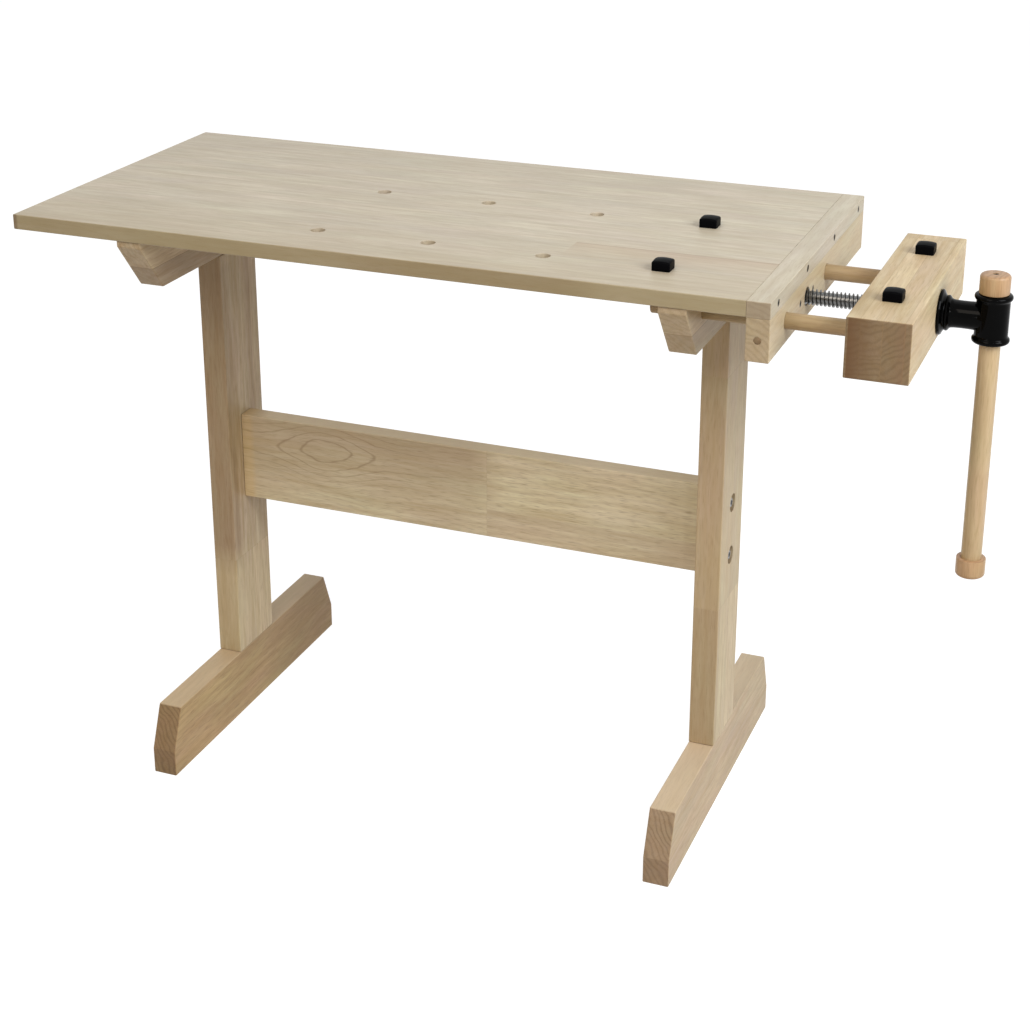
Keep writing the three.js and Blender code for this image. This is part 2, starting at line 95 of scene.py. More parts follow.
@dataclass(frozen=True)
class Space:
    """The box that a CAD node fills, in metres."""

    low: Vector
    high: Vector

    @classmethod
    def of(cls, node: str) -> "Space":
        """The box of a node."""
        return cls(*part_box(node))

    @property
    def middle(self) -> Vector:
        """The middle of the box."""
        return (self.low + self.high) / 2

    @property
    def size(self) -> Vector:
        """The lengths of the box's sides in millimetres."""
        return (self.high - self.low) / MM


class Side(Enum):
    """The two leg frames, with the sign of X that points outwards from each."""

    LEFT = -1
    RIGHT = 1

    @property
    def word(self) -> str:
        """The side's name in node names."""
        return self.name.lower()

    def faces(self, space: Space) -> tuple[float, float]:
        """The X of a box's inner and of its outer face."""
        near, far = space.low.x, space.high.x
        return (near, far) if self is Side.RIGHT else (far, near)


class KnobEnd(Enum):
    """The two ends of the handle, with the sign of Z that points outwards from each."""

    TOP = 1
    BOTTOM = -1


def point(x: float, y: float, z: float) -> Vector:
    """A point of the bench's frame, given in millimetres."""
    return Vector((x, y, z)) * MM


def linear(hex_colour: str) -> tuple[float, float, float, float]:
    """Turns an sRGB colour into the linear colour that shader sockets take.

    Args:
        hex_colour: the colour as six hex digits after a hash.

    Returns:
        The linear colour, with an alpha of one.
    """
    parts = [int(hex_colour[i:i + 2], 16) / 255 for i in (1, 3, 5)]
    red, green, blue = (c / 12.92 if c <= 0.04045 else ((c + 0.055) / 1.055) ** 2.4 for c in parts)
    return red, green, blue, 1.0


def stand(name: str, data: ID) -> Object:
    """Puts something into the scene at the origin.

    Args:
        name: the new object's name.
        data: a mesh, a lamp or a camera.

    Returns:
        The new object.
    """
    thing = bpy.data.objects.new(name, data)
    bpy.context.scene.collection.objects.link(thing)
    return thing


def cleared(owner: Material | World) -> NodeTree:
    """Gives a material or a world an empty node tree.

    Args:
        owner: the material or the world.

    Returns:
        The node tree.
    """
    owner.use_nodes = True
    owner.node_tree.nodes.clear()
    return owner.node_tree


def add(tree: NodeTree, kind: str, feeds: dict | None = None, **settings: object) -> Node:
    """Adds a node with its settings and links.

    Args:
        tree: the node tree that gets the node.
        kind: the node's type name without its leading ShaderNode.
        feeds: input names or numbers, each with a value to set, or with a socket or a node's first output to link.
        **settings: attributes of the node itself.

    Returns:
        The new node.
    """
    node = tree.nodes.new(f"ShaderNode{kind}")
    for name, value in settings.items():
        setattr(node, name, value)
    for key, value in (feeds or {}).items():
        source = value.outputs[0] if isinstance(value, Node) else value
        if isinstance(source, NodeSocket):
            tree.links.new(source, node.inputs[key])
        else:
            node.inputs[key].default_value = source
    return node


@dataclass(frozen=True)
class Finish:
    """A surface, named for its material and for how it was made."""

    name: str

    def material(self) -> Material:
        """Builds the finish as a node material.

        Returns:
            The material.
        """
        material = bpy.data.materials.new(self.name)
        tree = cleared(material)
        shader = add(tree, "BsdfPrincipled", self.inputs(tree))
        add(tree, "OutputMaterial", {"Surface": shader})
        return material

    def inputs(self, tree: NodeTree) -> dict[str, object]:
        """Draws the finish in a node tree and returns what feeds each input of its shader."""
        raise NotImplementedError


@dataclass(frozen=True)
class WoodTone:
    """The colours of one kind of board, from its palest streak to its end grain."""

    light: str
    dark: str
    pore: str
    end: str


@dataclass(frozen=True)
class Stain:
    """A patch of another colour on a board, in millimetres along and across it: a real stain, painted light or
    painted shade.

    It is strongest at the full edge and fades out towards the faded edge.
    """

    start: float
    stop: float
    faded_edge: float
    full_edge: float
    colour: str
    strength: float
    softness: float = 1.0


@dataclass(frozen=True)
class EyeFigure:
    """An eye in the grain, where a flat-sawn face cuts a bulge of the growth layers, in millimetres on the board.

    The bulge falls to a share of itself at the half length, and the flat and the slope say how the layers fall off
    to both sides.
    """

    along: float
    across: float
    half_length: float
    half_width: float
    edge: float
    bulge_left: float = 0.11
    flat: float = 2.56
    slope: float = 3.2
    layers: float = 2.2
    line_start: float = 0.38
    line_share: float = 0.46


STAVE_JUMP = (2.0, 0.6, 0.6)  # metres by which the figure can jump from one stave to the next
HEART = (0.0, 0.05, 0.09)  # metres from the start of a board to the heart line of its growth rings
HEART_SLOPE = 0.03  # by which the growth rings widen along the board
RING_WANDER = 5.0  # growth rings by which a patch can bend them
HUE_REACH = 0.013  # by which the hue leans to pink or to green
PORE_DEPTH = 0.15  # millimetres


@dataclass(frozen=True)
class Rubberwood(Finish):
    """Glued-up rubberwood, planed and thinly oiled.

    The eye sees soft pale streaks that lean to pink or to green, short brown pore lines along the grain, faint
    growth rings, staves of slightly different tone with thin glue lines, and a darker end grain. Lengths are in
    millimetres, and the other numbers are shares of one.
    """

    tone: WoodTone
    grain: Axis
    across: Axis
    origin: Vector
    seed: float
    stave_width: float = 900.0
    stave_length: float = 1900.0
    row_shift: float = 20.0
    joint: float = -20.0
    variation: float = 0.05
    mottle: float = 0.07
    streak_width: float = 8.0
    streak_stretch: float = 0.07
    patch_width: float = 42.0
    patch_stretch: float = 0.33
    pore_width: float = 1.1
    pore_length: float = 18.0
    pore_share: float = 0.38
    seam: float = 0.3
    seam_width: float = 0.8
    ring_spacing: float = 7.0
    ring_strength: float = 0.1
    end_share: float = 0.6
    end_rings: float = 0.7
    latewood: str = "#4a331c"
    roughness: float = 0.5
    stains: tuple[Stain, ...] = ()
    figure: EyeFigure | None = None

    def inputs(self, tree: NodeTree) -> dict[str, object]:
        """Draws the wood, from its staves up to its stains and its patches of painted light and shade.

        Args:
            tree: the material's node tree.

        Returns:
            What feeds each input of the wood's shader.
        """
        coords = add(tree, "TexCoord")
        along, across = self.grain.vector, self.across.vector
        turn = Matrix((along, across, along.cross(across)))
        board = add(tree, "Mapping", {
            "Vector": coords.outputs["Object"], "Rotation": turn.to_euler("XYZ"), "Location": -(turn @ self.origin)})
        parts = add(tree, "SeparateXYZ", {0: board})

        wood, chance, seam = self.staves(tree, board, parts)

        # Narrow streaks about 110 mm long, and wide patches about 120 mm long.
        stretched = add(tree, "Mapping", {"Vector": wood, "Scale": (self.streak_stretch, 1.0, 1.0)})
        streak = add(tree, "TexNoise", {
            "Vector": stretched, "Scale": 1 / (self.streak_width * MM), "Detail": 4.0, "Roughness": 0.62})
        streaked = add(tree, "MapRange", {"Value": streak, "From Min": 0.34, "From Max": 0.7, "To Max": 0.8})
        short = add(tree, "Mapping", {"Vector": wood, "Scale": (self.patch_stretch, 1.0, 1.0)})
        patch = add(tree, "TexNoise", {"Vector": short, "Scale": 1 / (self.patch_width * MM), "Detail": 2.0})
        blotch = add(tree, "SeparateColor", {0: patch.outputs["Color"]})
        hue, mottle = (add(tree, "MapRange", {
            "Value": source, "From Min": 0.3, "From Max": 0.7, "To Min": middle - reach, "To Max": middle + reach})
            for source, middle, reach in ((blotch.outputs[0], 0.5, HUE_REACH), (blotch.outputs[1], 1.0, self.mottle)))
        shade = add(tree, "MapRange", {
            "Value": chance.outputs["Value"], "To Min": 1 - self.variation, "To Max": 1 + self.variation / 2})
        shade = add(tree, "Math", {0: shade, 1: mottle}, operation="MULTIPLY")

        # Growth rings round a heart line that lies outside the stave and wanders slowly.
        heart = add(tree, "Mapping", {"Vector": wood, "Location": HEART, "Scale": (HEART_SLOPE, 1.0, 1.0)})
        reach = add(tree, "VectorMath", {0: heart}, operation="LENGTH")
        wander = add(tree, "Math", {0: patch, 1: RING_WANDER}, operation="MULTIPLY")
        phase = add(tree, "Math", {0: reach.outputs["Value"], 1: 1 / (self.ring_spacing * MM), 2: wander},
                    operation="MULTIPLY_ADD")
        line = self.ring(tree, phase, 0.15, 1.0)
        ring = add(tree, "Math", {0: line, 1: self.ring_strength}, operation="MULTIPLY")

        # Real pores are about 0.3 mm wide; these are drawn wider so that they show.
        width, length = self.pore_width * MM, self.pore_length * MM
        fine = add(tree, "Mapping", {"Vector": wood, "Scale": (1 / length, 1 / width, 1 / width)})
        pores = add(tree, "TexNoise", {"Vector": fine, "Scale": 1.0, "Detail": 1.0})
        pore = add(tree, "MapRange", {"Value": pores, "From Min": 0.54, "From Max": 0.76, "To Max": self.pore_share})

        end = self.end_grain(tree, coords)
        end_line = add(tree, "Math", {0: line, 1: self.end_rings}, operation="MULTIPLY")
        for fade in (end, patch):
            end_line = add(tree, "Math", {0: end_line, 1: fade}, operation="MULTIPLY")

        layers = [(streaked, self.tone.dark), (ring, self.tone.pore), (pore, self.tone.pore), (end, self.tone.end),
                  (end_line, self.latewood), (seam, self.tone.pore)]
        layers += [(self.stained(tree, parts, stain_or_light), stain_or_light.colour) for stain_or_light in self.stains]
        if self.figure:
            layers.append((self.eye(tree, board), self.tone.pore))
        colour = add(tree, "HueSaturation", {"Hue": hue, "Value": shade, "Color": linear(self.tone.light)}).outputs[0]
        for share, tint in layers:
            colour = add(tree, "Mix", {0: share, 6: colour, 7: linear(tint)}, data_type="RGBA").outputs[2]
        gloss = add(tree, "MapRange", {
            "Value": streak, "To Min": self.roughness - 0.06, "To Max": self.roughness + 0.1})
        relief = add(tree, "Math", {0: pore, 1: -1.0, 2: ring}, operation="MULTIPLY_ADD")
        bump = add(tree, "Bump", {"Height": relief, "Strength": 0.25, "Distance": PORE_DEPTH * MM})
        return {"Base Color": colour, "Roughness": gloss, "Normal": bump}

    def staves(self, tree: NodeTree, board: Node, parts: Node) -> tuple[Node, Node, Node]:
        """Cuts the board into staves: rows across it, cut into lengths, with a glue line at each joint.

        Args:
            tree: the material's node tree.
            board: the position on the board.
            parts: the node that holds the position along and across the board.

        Returns:
            The position in the wood, which jumps from stave to stave, each stave's chance, and the glue lines' share.
        """
        numbers, seams = [], []
        for place, size, shift in ((1, self.stave_width, self.row_shift), (0, self.stave_length, -self.joint)):
            count = add(tree, "Math", {0: parts.outputs[place], 1: 1 / (size * MM), 2: shift / size},
                        operation="MULTIPLY_ADD")
            numbers.append(add(tree, "Math", {0: count}, operation="FLOOR"))
            near = add(tree, "Math", {0: count, 1: 0.5}, operation="PINGPONG")
            seams.append(add(tree, "MapRange", {
                "Value": near, "From Max": self.seam_width / size, "To Min": self.seam, "To Max": 0.0}))
        seam = add(tree, "Math", {0: seams[0], 1: seams[1]}, operation="MAXIMUM")
        key = add(tree, "CombineXYZ", {0: numbers[0], 1: numbers[1], 2: self.seed})
        chance = add(tree, "TexWhiteNoise", {"Vector": key}, noise_dimensions="3D")
        wood = add(tree, "VectorMath", {0: chance.outputs["Color"], 1: STAVE_JUMP, 2: board},
                   operation="MULTIPLY_ADD")
        return wood, chance, seam

    def end_grain(self, tree: NodeTree, coords: Node) -> Node:
        """Finds the end grain, which drinks the oil and goes dark where the grain meets a face.

        Args:
            tree: the material's node tree.
            coords: the texture coordinates.

        Returns:
            The share of the end grain's colour.
        """
        square = add(tree, "VectorMath", {0: coords.outputs["Normal"], 1: self.grain.vector}, operation="DOT_PRODUCT")
        facing = add(tree, "Math", {0: square.outputs["Value"]}, operation="ABSOLUTE")
        return add(tree, "MapRange", {"Value": facing, "From Min": 0.25, "From Max": 0.95, "To Max": self.end_share})

    @staticmethod
    def ring(tree: NodeTree, phase: Node, start: float, strength: float) -> Node:
        """Draws a soft dark line once in each growth ring.

        Args:
            tree: the material's node tree.
            phase: the ring number.
            start: where in the half ring the line starts, from 0 to 0.5.
            strength: the line's share of the darker colour.

        Returns:
            The share of the darker colour.
        """
        fold = add(tree, "Math", {0: phase, 1: 0.5}, operation="PINGPONG")
        return add(tree, "MapRange", {"Value": fold, "From Min": start, "From Max": 0.5, "To Max": strength},
                   interpolation_type="SMOOTHSTEP")

    def eye(self, tree: NodeTree, board: Node) -> Node:
        """Draws the thin lines of the eye and those that flow past it.

        A line runs where the growth layers stand equally high: they bulge in the eye and fall off to both sides.

        Args:
            tree: the material's node tree.
            board: the position on the board.

        Returns:
            The share of the darker colour.
        """
        eye = self.figure
        spot = add(tree, "Mapping", {
            "Vector": board, "Scale": (1 / (eye.half_length * MM), 1 / (eye.half_width * MM), 0.0),
            "Location": (-eye.along / eye.half_length, -eye.across / eye.half_width, 0.0)})
        sides = add(tree, "SeparateXYZ", {0: spot})
        wobble = add(tree, "TexNoise", {"Vector": spot, "Scale": 1.4, "Detail": 2.0})
        along, across = (add(tree, "Math", {0: side, 1: 2.0}, operation="POWER") for side in sides.outputs[:2])
        bulge = add(tree, "Math", {0: eye.bulge_left, 1: along}, operation="POWER")
        fall = add(tree, "Math", {0: across, 1: eye.slope, 2: eye.flat}, operation="MULTIPLY_ADD")
        fall = add(tree, "Math", {0: fall, 1: 0.5}, operation="POWER")
        level = add(tree, "Math", {0: fall, 1: bulge}, operation="SUBTRACT")
        phase = add(tree, "Math", {0: level, 1: eye.layers, 2: wobble}, operation="MULTIPLY_ADD")
        away = add(tree, "VectorMath", {0: spot}, operation="LENGTH")
        edge = (eye.edge - eye.across) / eye.half_width
        line = self.ring(tree, phase, eye.line_start, eye.line_share)
        for value, full, none in ((away.outputs["Value"], 0.8, 2.5), (sides.outputs[1], edge - 0.05, edge)):
            fade = add(tree, "MapRange", {
                "Value": value, "From Min": full, "From Max": none, "To Min": 1.0, "To Max": 0.0})
            line = add(tree, "Math", {0: line, 1: fade}, operation="MULTIPLY")
        return line

    @staticmethod
    def stained(tree: NodeTree, parts: Node, stain_or_light: Stain) -> Node:
        """Works out how strongly a stain or a patch of painted light or shade shows.

        Args:
            tree: the material's node tree.
            parts: the node that holds the position along and across the board.
            stain_or_light: the stain or the patch of painted light or shade.

        Returns:
            The share of the patch's colour.
        """
        along, across = parts.outputs[:2]
        share = add(tree, "MapRange", {
            "Value": across, "From Min": stain_or_light.faded_edge * MM, "From Max": stain_or_light.full_edge * MM,
            "To Max": stain_or_light.strength})
        rim = 0.5 if stain_or_light.faded_edge > stain_or_light.full_edge else -0.5
        for value, limit, soft in ((across, stain_or_light.full_edge, rim), (along, stain_or_light.start, stain_or_light.softness),
                                   (along, stain_or_light.stop, -stain_or_light.softness)):
            inside = add(tree, "MapRange", {
                "Value": value, "From Min": (limit - soft) * MM, "From Max": (limit + soft) * MM})
            share = add(tree, "Math", {0: share, 1: inside}, operation="MULTIPLY")
        return share


@dataclass(frozen=True)
class EvenFinish(Finish):
    """A finish of one colour that a faint cloud breaks in its shade, gloss and relief, sizes in millimetres."""

    colour: str
    gloss: tuple[float, float]
    shade: tuple[float, float]
    grit: float
    detail: float
    relief: float
    depth: float

    def inputs(self, tree: NodeTree) -> dict[str, object]:
        """Draws the cloud.

        Args:
            tree: the material's node tree.

        Returns:
            What feeds each input of the finish's shader.
        """
        coords = add(tree, "TexCoord")
        cloud = add(tree, "TexNoise", {
            "Vector": coords.outputs["Object"], "Scale": 1 / (self.grit * MM), "Detail": self.detail})
        shade, gloss = (add(tree, "MapRange", {"Value": cloud, "To Min": low, "To Max": high})
                        for low, high in (self.shade, self.gloss))
        tint = add(tree, "HueSaturation", {"Value": shade, "Color": linear(self.colour)})
        bump = add(tree, "Bump", {"Height": cloud, "Strength": self.relief, "Distance": self.depth * MM})
        return {"Base Color": tint, "Roughness": gloss, "Normal": bump}


@dataclass(frozen=True)
class Steel(EvenFinish):
    """Steel with a thin zinc plating, oiled after cutting and drawn darker as a painted dark reflection, or left dark
    from the furnace.

    The eye sees a grey whose sheen is uneven from tool marks. These are too fine to show, so that they are drawn
    as clouds of a few millimetres.
    """

    shade: tuple[float, float] = (0.75, 1.15)
    grit: float = 4.0
    detail: float = 4.0
    relief: float = 0.1
    depth: float = 0.05

    def inputs(self, tree: NodeTree) -> dict[str, object]:
        """Adds the sheen of a metal."""
        return {**super().inputs(tree), "Metallic": 1.0}


@dataclass(frozen=True)
class BlackCoating(EvenFinish):
    """A black skin: stoving enamel over cast iron, or the face of a moulded nylon.

    The eye sees a glossy black with a slight unevenness on the enamel and a satin black on the nylon, whose mould
    grain is drawn coarser than it is, so that it shows.
    """

    shade: tuple[float, float] = (0.7, 1.3)
    grit: float = 6.0
    detail: float = 2.0
    relief: float = 0.03
    depth: float = 0.2
    specular: float = 0.05
    ior: float = 1.5

    def inputs(self, tree: NodeTree) -> dict[str, object]:
        """Adds the weak mirror image of a black skin."""
        return {**super().inputs(tree), "Specular IOR Level": self.specular, "IOR": self.ior}


PLATED_STEEL = Steel("zinc_plated_steel", "#97989a", (0.2, 0.44))
# The vise screw's oiled steel is drawn darker than steel is: a painted dark reflection of dark surroundings.
OILED_STEEL_PAINTED_DARK = Steel("oiled_cut_steel", "#6d6d6c", (0.18, 0.42))
DARK_STEEL = Steel("darkened_steel", "#4d4a47", (0.32, 0.56))
ENAMEL = BlackCoating("stoved_black_enamel", "#030303", (0.064, 0.1))
NYLON = BlackCoating("moulded_black_nylon", "#060608", (0.288, 0.45), grit=0.8, relief=0.12, specular=0.06, ior=1.25)

TOP_TONE = WoodTone("#d2c8b3", "#beb096", "#a08c6e", "#927d62")
APRON_TONE = WoodTone("#d3c3a3", "#c3ad87", "#9c825c", "#927a5c")
POST_TONE = WoodTone("#dac9a8", "#c6af87", "#987d56", "#8d7355")
DARK_POST_TONE = WoodTone("#d9c8a8", "#b2966e", "#8a6c49", "#8d7355")
STRETCHER_TONE = WoodTone("#e3d7b8", "#c6b28a", "#86694a", "#8d7355")
FOOT_TONE = WoodTone("#ccb797", "#bda27c", "#8f7350", "#78593c")
DARK_FOOT_TONE = WoodTone("#c2a576", "#ab8c5c", "#735430", "#684a2d")
JAW_TONE = WoodTone("#d8c4a0", "#bfa478", "#94774f", "#684d2c")
TURNED_TONE = WoodTone("#cfb890", "#bea278", "#9d7f50", "#b8956a")
ROD_TONE = WoodTone("#b59e78", "#a0845c", "#816542", "#9a7c54")
KNOB_TONE = WoodTone("#c6a57e", "#b48d63", "#875f38", "#aa8260")

# The first two colour the stave in the front corner, the next the front half, and the rest the front edge.
TOP_STAINS = (
    Stain(730, 989, 92, 150, "#b09272", 0.45), Stain(730, 989, 146, 150, "#8f6c4c", 0.45),
    Stain(-1, 989, 130, -0.5, "#a69574", 0.36), Stain(-1, 989, 1.6, -0.5, "#887640", 0.65),
    Stain(-1, 480, 1.6, -0.5, "#86704c", 0.25, 60.0), Stain(480, 800, 1.6, -0.5, "#7c6038", 0.42, 40.0),
    Stain(-1, 6, 1.6, -0.5, "#5a3a20", 0.7, 1.5))
# An upper stave painted brown at the front, partly its own darker wood and partly painted shade under the bench top,
# two brown streaks and a pale foot end.
LEFT_POST_STAINS_AND_SHADE = (
    Stain(150, 620, 60, -1, "#80603c", 0.4, 24.0), Stain(300, 620, 52, 78, "#7a4a30", 0.3, 20.0),
    Stain(150, 330, 24, 8, "#6f4a30", 0.3, 20.0), Stain(-1, 148, 200, -0.5, "#e6d4a2", 0.26, 24.0))
# A brown lower length, and three faint streaks in the length above it.
RIGHT_POST_STAINS = (
    Stain(-1, 205, 12, -1, "#8d6a40", 0.32), Stain(205, 620, 9, -1, "#b08258", 0.14),
    Stain(205, 620, 30, 36, "#b4885e", 0.16), Stain(205, 620, 88, 101, "#a48a58", 0.2))
# Painted shade: the left foot darkens towards its back.
FOOT_BACK_SHADE = Stain(250, 620, -400, 110, "#84663f", 0.4, 130.0)
# Painted light: the top faces of the feet are drawn paler.
FOOT_TOP_PAINTED_LIGHT = Stain(-10, 510, 96.4, 98.5, "#e3cfb1", 0.6)
# A left length that darkens towards its top as painted shade under the bench top, a pinkish lower stave on the right,
# a yellow left end, and painted light that makes the top face paler.
STRETCHER_STAINS_AND_LIGHT = (
    Stain(-30, 382, -12, 129, "#9c8163", 0.58, 24.0), Stain(382, 700, -60, 41, "#b0937c", 0.28, 3.0),
    Stain(-30, 17, 400, -1, "#d6b87e", 0.45, 4.0), Stain(20, 720, 126.4, 128.5, "#efe0bf", 0.8, 20.0))
STRETCHER_EYE = EyeFigure(134, 90, 94, 29, 126.8)
# Three shades in the front end grain, and a darker inner half behind it.
JAW_STAINS = (
    Stain(-362, -359.4, -10, -75.5, "#553a18", 0.16, 0.4), Stain(-362, -359.4, -38, -72, "#5e3a10", 0.8, 0.4),
    Stain(-362, -359.4, -22, -7, "#8a5844", 0.16, 0.4), Stain(-345, -250, -44, -75.5, "#9c8050", 0.7, 14.0))


@dataclass(frozen=True)
class Bore:
    """A round hole in a flat face, or a round boss on it where the depth is negative.

    The depth is None for a hole that goes right through. Sizes are in millimetres.
    """

    centre: Vector
    axis: Axis
    outward: int
    radius: float
    depth: float | None = None

    def direction(self) -> Vector:
        """The way the bored face looks."""
        return self.axis.vector * self.outward


def corners_of(made: list[BMVert | BMEdge | BMFace]) -> list[BMVert]:
    """The corners among what an operator made."""
    return [item for item in made if isinstance(item, BMVert)]


def upright(place: Vector, way: Vector) -> Matrix:
    """The transform that stands a shape on a place and turns its Z along a way."""
    return Matrix.Translation(place) @ way.to_track_quat("Z", "Y").to_matrix().to_4x4()


class Form:
    """A mesh being shaped, in metres in the bench's frame."""

    def __init__(self, mesh: Mesh | None = None) -> None:
        """Starts with nothing, or takes over a mesh.

        Args:
            mesh: the mesh, which is removed.
        """
        self.bm = bmesh.new()
        if mesh:
            self.bm.from_mesh(mesh)
            bpy.data.meshes.remove(mesh)

    def outward(self) -> "Form":
        """Turns all faces to look outwards."""
        bmesh.ops.recalc_face_normals(self.bm, faces=self.bm.faces[:])
        return self

    def merge(self) -> None:
        """Makes one of corners that lie on each other."""
        bmesh.ops.remove_doubles(self.bm, verts=self.bm.verts[:], dist=TOUCH)

    def block(self, low: Vector, high: Vector) -> "Form":
        """Adds a rectangular block.

        Args:
            low: its lowest corner.
            high: its highest corner.

        Returns:
            This form.
        """
        made = bmesh.ops.create_cube(self.bm, size=1.0)["verts"]
        bmesh.ops.scale(self.bm, vec=high - low, verts=made)
        bmesh.ops.translate(self.bm, vec=(low + high) / 2, verts=made)
        return self

    def prism(self, outline: list[Vector], depth: Vector) -> "Form":
        """Adds a flat outline that is drawn out to a solid.

        Args:
            outline: the outline's corners in order.
            depth: the way and the length that it is drawn out by.

        Returns:
            This form.
        """
        face = self.bm.faces.new([self.bm.verts.new(corner) for corner in outline])
        made = bmesh.ops.extrude_face_region(self.bm, geom=[face])["geom"]
        bmesh.ops.translate(self.bm, vec=depth, verts=corners_of(made))
        return self.outward()

    def chain(self, profile: Profile, base: Vector, axis: Axis) -> list[BMVert | BMEdge]:
        """Draws a profile beside an axis.

        Args:
            profile: radius and height of each point in millimetres.
            base: the point on the axis at height zero.
            axis: the axis.

        Returns:
            The corners and the edges of the profile.
        """
        radial = axis.others()[0]
        line = [self.bm.verts.new(base + (axis.vector * height + radial * radius) * MM)
                for radius, height in profile]
        return line + [self.bm.edges.new(pair) for pair in zip(line, line[1:])]

    def turned(self, profile: Profile, base: Vector, axis: Axis, steps: int = 48) -> "Form":
        """Adds a shape turned on a lathe.

        Args:
            profile: radius and height of each point in millimetres; a ring's profile ends where it starts.
            base: the point on the axis at height zero.
            axis: the axis of the lathe.
            steps: the number of faces round the axis.

        Returns:
            This form.
        """
        bmesh.ops.spin(self.bm, geom=self.chain(profile, base, axis), cent=base, axis=axis.vector, angle=math.tau,
                       steps=steps, use_merge=True)
        self.merge()
        bmesh.ops.delete(self.bm, geom=[e for e in self.bm.edges if e.is_wire], context="EDGES")
        return self

    def rod(self, base: Vector, axis: Axis, radius: float, length: float, steps: int = 48) -> "Form":
        """Adds a plain turned rod that starts at a base, with sizes in millimetres."""
        return self.turned([(0, 0), (radius, 0), (radius, length), (0, length)], base, axis, steps)

    def thread(self, start: Vector, axis: Axis, profile: Profile, turns: int, steps: int = 28) -> "Form":
        """Adds a right-hand thread, swept from the profile of one turn and cut square at both ends.

        Args:
            start: the point on the axis where the sweep begins.
            axis: the axis of the thread.
            profile: radius and height of each point of one turn, in millimetres.
            turns: the number of turns swept; the first and the last pitch are cut off.
            steps: the number of faces round one turn.

        Returns:
            This form.
        """
        pitch = profile[-1][1] - profile[0][1]
        bmesh.ops.spin(self.bm, geom=self.chain(profile, start, axis), cent=start, axis=axis.vector,
                       angle=math.tau * turns, dvec=axis.vector * (pitch * MM / steps), steps=steps * turns)
        self.merge()
        for place, way in ((pitch, -1), (turns * pitch, 1)):
            everything = self.bm.verts[:] + self.bm.edges[:] + self.bm.faces[:]
            bmesh.ops.bisect_plane(self.bm, geom=everything, dist=TOUCH / 10, clear_outer=True,
                                   plane_co=start + axis.vector * place * MM, plane_no=axis.vector * way)
        bmesh.ops.holes_fill(self.bm, edges=[e for e in self.bm.edges if e.is_boundary], sides=0)
        return self

    def stud(self, middle: Vector, axis: Axis, radius: float, length: float, sides: int) -> "Form":
        """Adds a plain bar.

        Args:
            middle: the bar's middle.
            axis: the axis of the bar.
            radius: the radius over its corners, in millimetres.
            length: its length in millimetres.
            sides: the number of its sides.

        Returns:
            This form.
        """
        bmesh.ops.create_cone(self.bm, cap_ends=True, cap_tris=False, segments=sides, radius1=radius * MM,
                              radius2=radius * MM, depth=length * MM, matrix=upright(middle, axis.vector))
        return self

    def sharp(self) -> list[BMEdge]:
        """The edges at which the surface turns sharply."""
        return [e for e in self.bm.edges if len(e.link_faces) == 2 and e.calc_face_angle() > SHARP]

    def bevel(self, edges: list[BMEdge], size: float, segments: int = 3) -> "Form":
        """Rounds edges.

        Args:
            edges: the edges, of which there may be none.
            size: the width of the rounding in millimetres.
            segments: the number of faces across it.

        Returns:
            This form.
        """
        if edges:
            bmesh.ops.bevel(self.bm, geom=edges, offset=size * MM, offset_type="OFFSET", segments=segments,
                            profile=0.5, affect="EDGES", clamp_overlap=True, material=-1)
        return self

    def soften(self, size: float, segments: int = 3) -> "Form":
        """Rounds every sharp edge by a size in millimetres."""
        return self.bevel(self.sharp(), size, segments)

    def board(self, bores: list[Bore], ease: float = 1.2, rim: float = 0.5,
              flush: Sequence[tuple[Axis, float]] = ()) -> "Form":
        """Bores a board and eases its edges.

        Args:
            bores: the holes and bosses.
            ease: the rounding of the board's own edges, in millimetres.
            rim: the rounding of the holes' rims, in millimetres.
            flush: planes in which the board is sanded flush with its neighbour and stays almost sharp.

        Returns:
            This form.
        """
        self.bm.normal_update()
        for bore in bores:
            self.outline_cell(bore, bore.direction())
            if bore.depth is None:
                self.outline_cell(bore, -bore.direction())
        arrises = [edge for edge in self.sharp() if not self.in_plane(edge, flush)]
        rims = [edge for bore in bores for edge in self.sink(bore)]
        self.outward().bevel(rims, rim, 2).bevel(arrises, ease)
        self.bm.normal_update()
        return self.bevel([edge for edge in self.sharp() if self.in_plane(edge, flush)], FLUSH_EASE, 1)

    @staticmethod
    def in_plane(edge: BMEdge, planes: Sequence[tuple[Axis, float]]) -> bool:
        """Whether an edge lies in one of several planes, each given by its axis and place in metres."""
        return any(all(abs(v.co.dot(axis.vector) - place) < TOUCH for v in edge.verts) for axis, place in planes)

    def face_at(self, place: Vector, normal: Vector) -> BMFace:
        """The outermost face that looks along a normal and is crossed by the line through a place.

        Args:
            place: a point over or under the face.
            normal: the way the face looks.

        Returns:
            The face; of several in one plane the smallest.
        """
        def crossed(face: BMFace) -> bool:
            """Whether the line runs through the face's box."""
            spans = [(v.co - place) - normal * (v.co - place).dot(normal) for v in face.verts]
            return all(min(s[i] for s in spans) <= 0 <= max(s[i] for s in spans) for i in range(3))

        facing = [f for f in self.bm.faces if f.normal.dot(normal) > 0.99 and crossed(f)]
        return min(facing, key=lambda f: (-round(f.calc_center_median().dot(normal), 5), f.calc_area()))

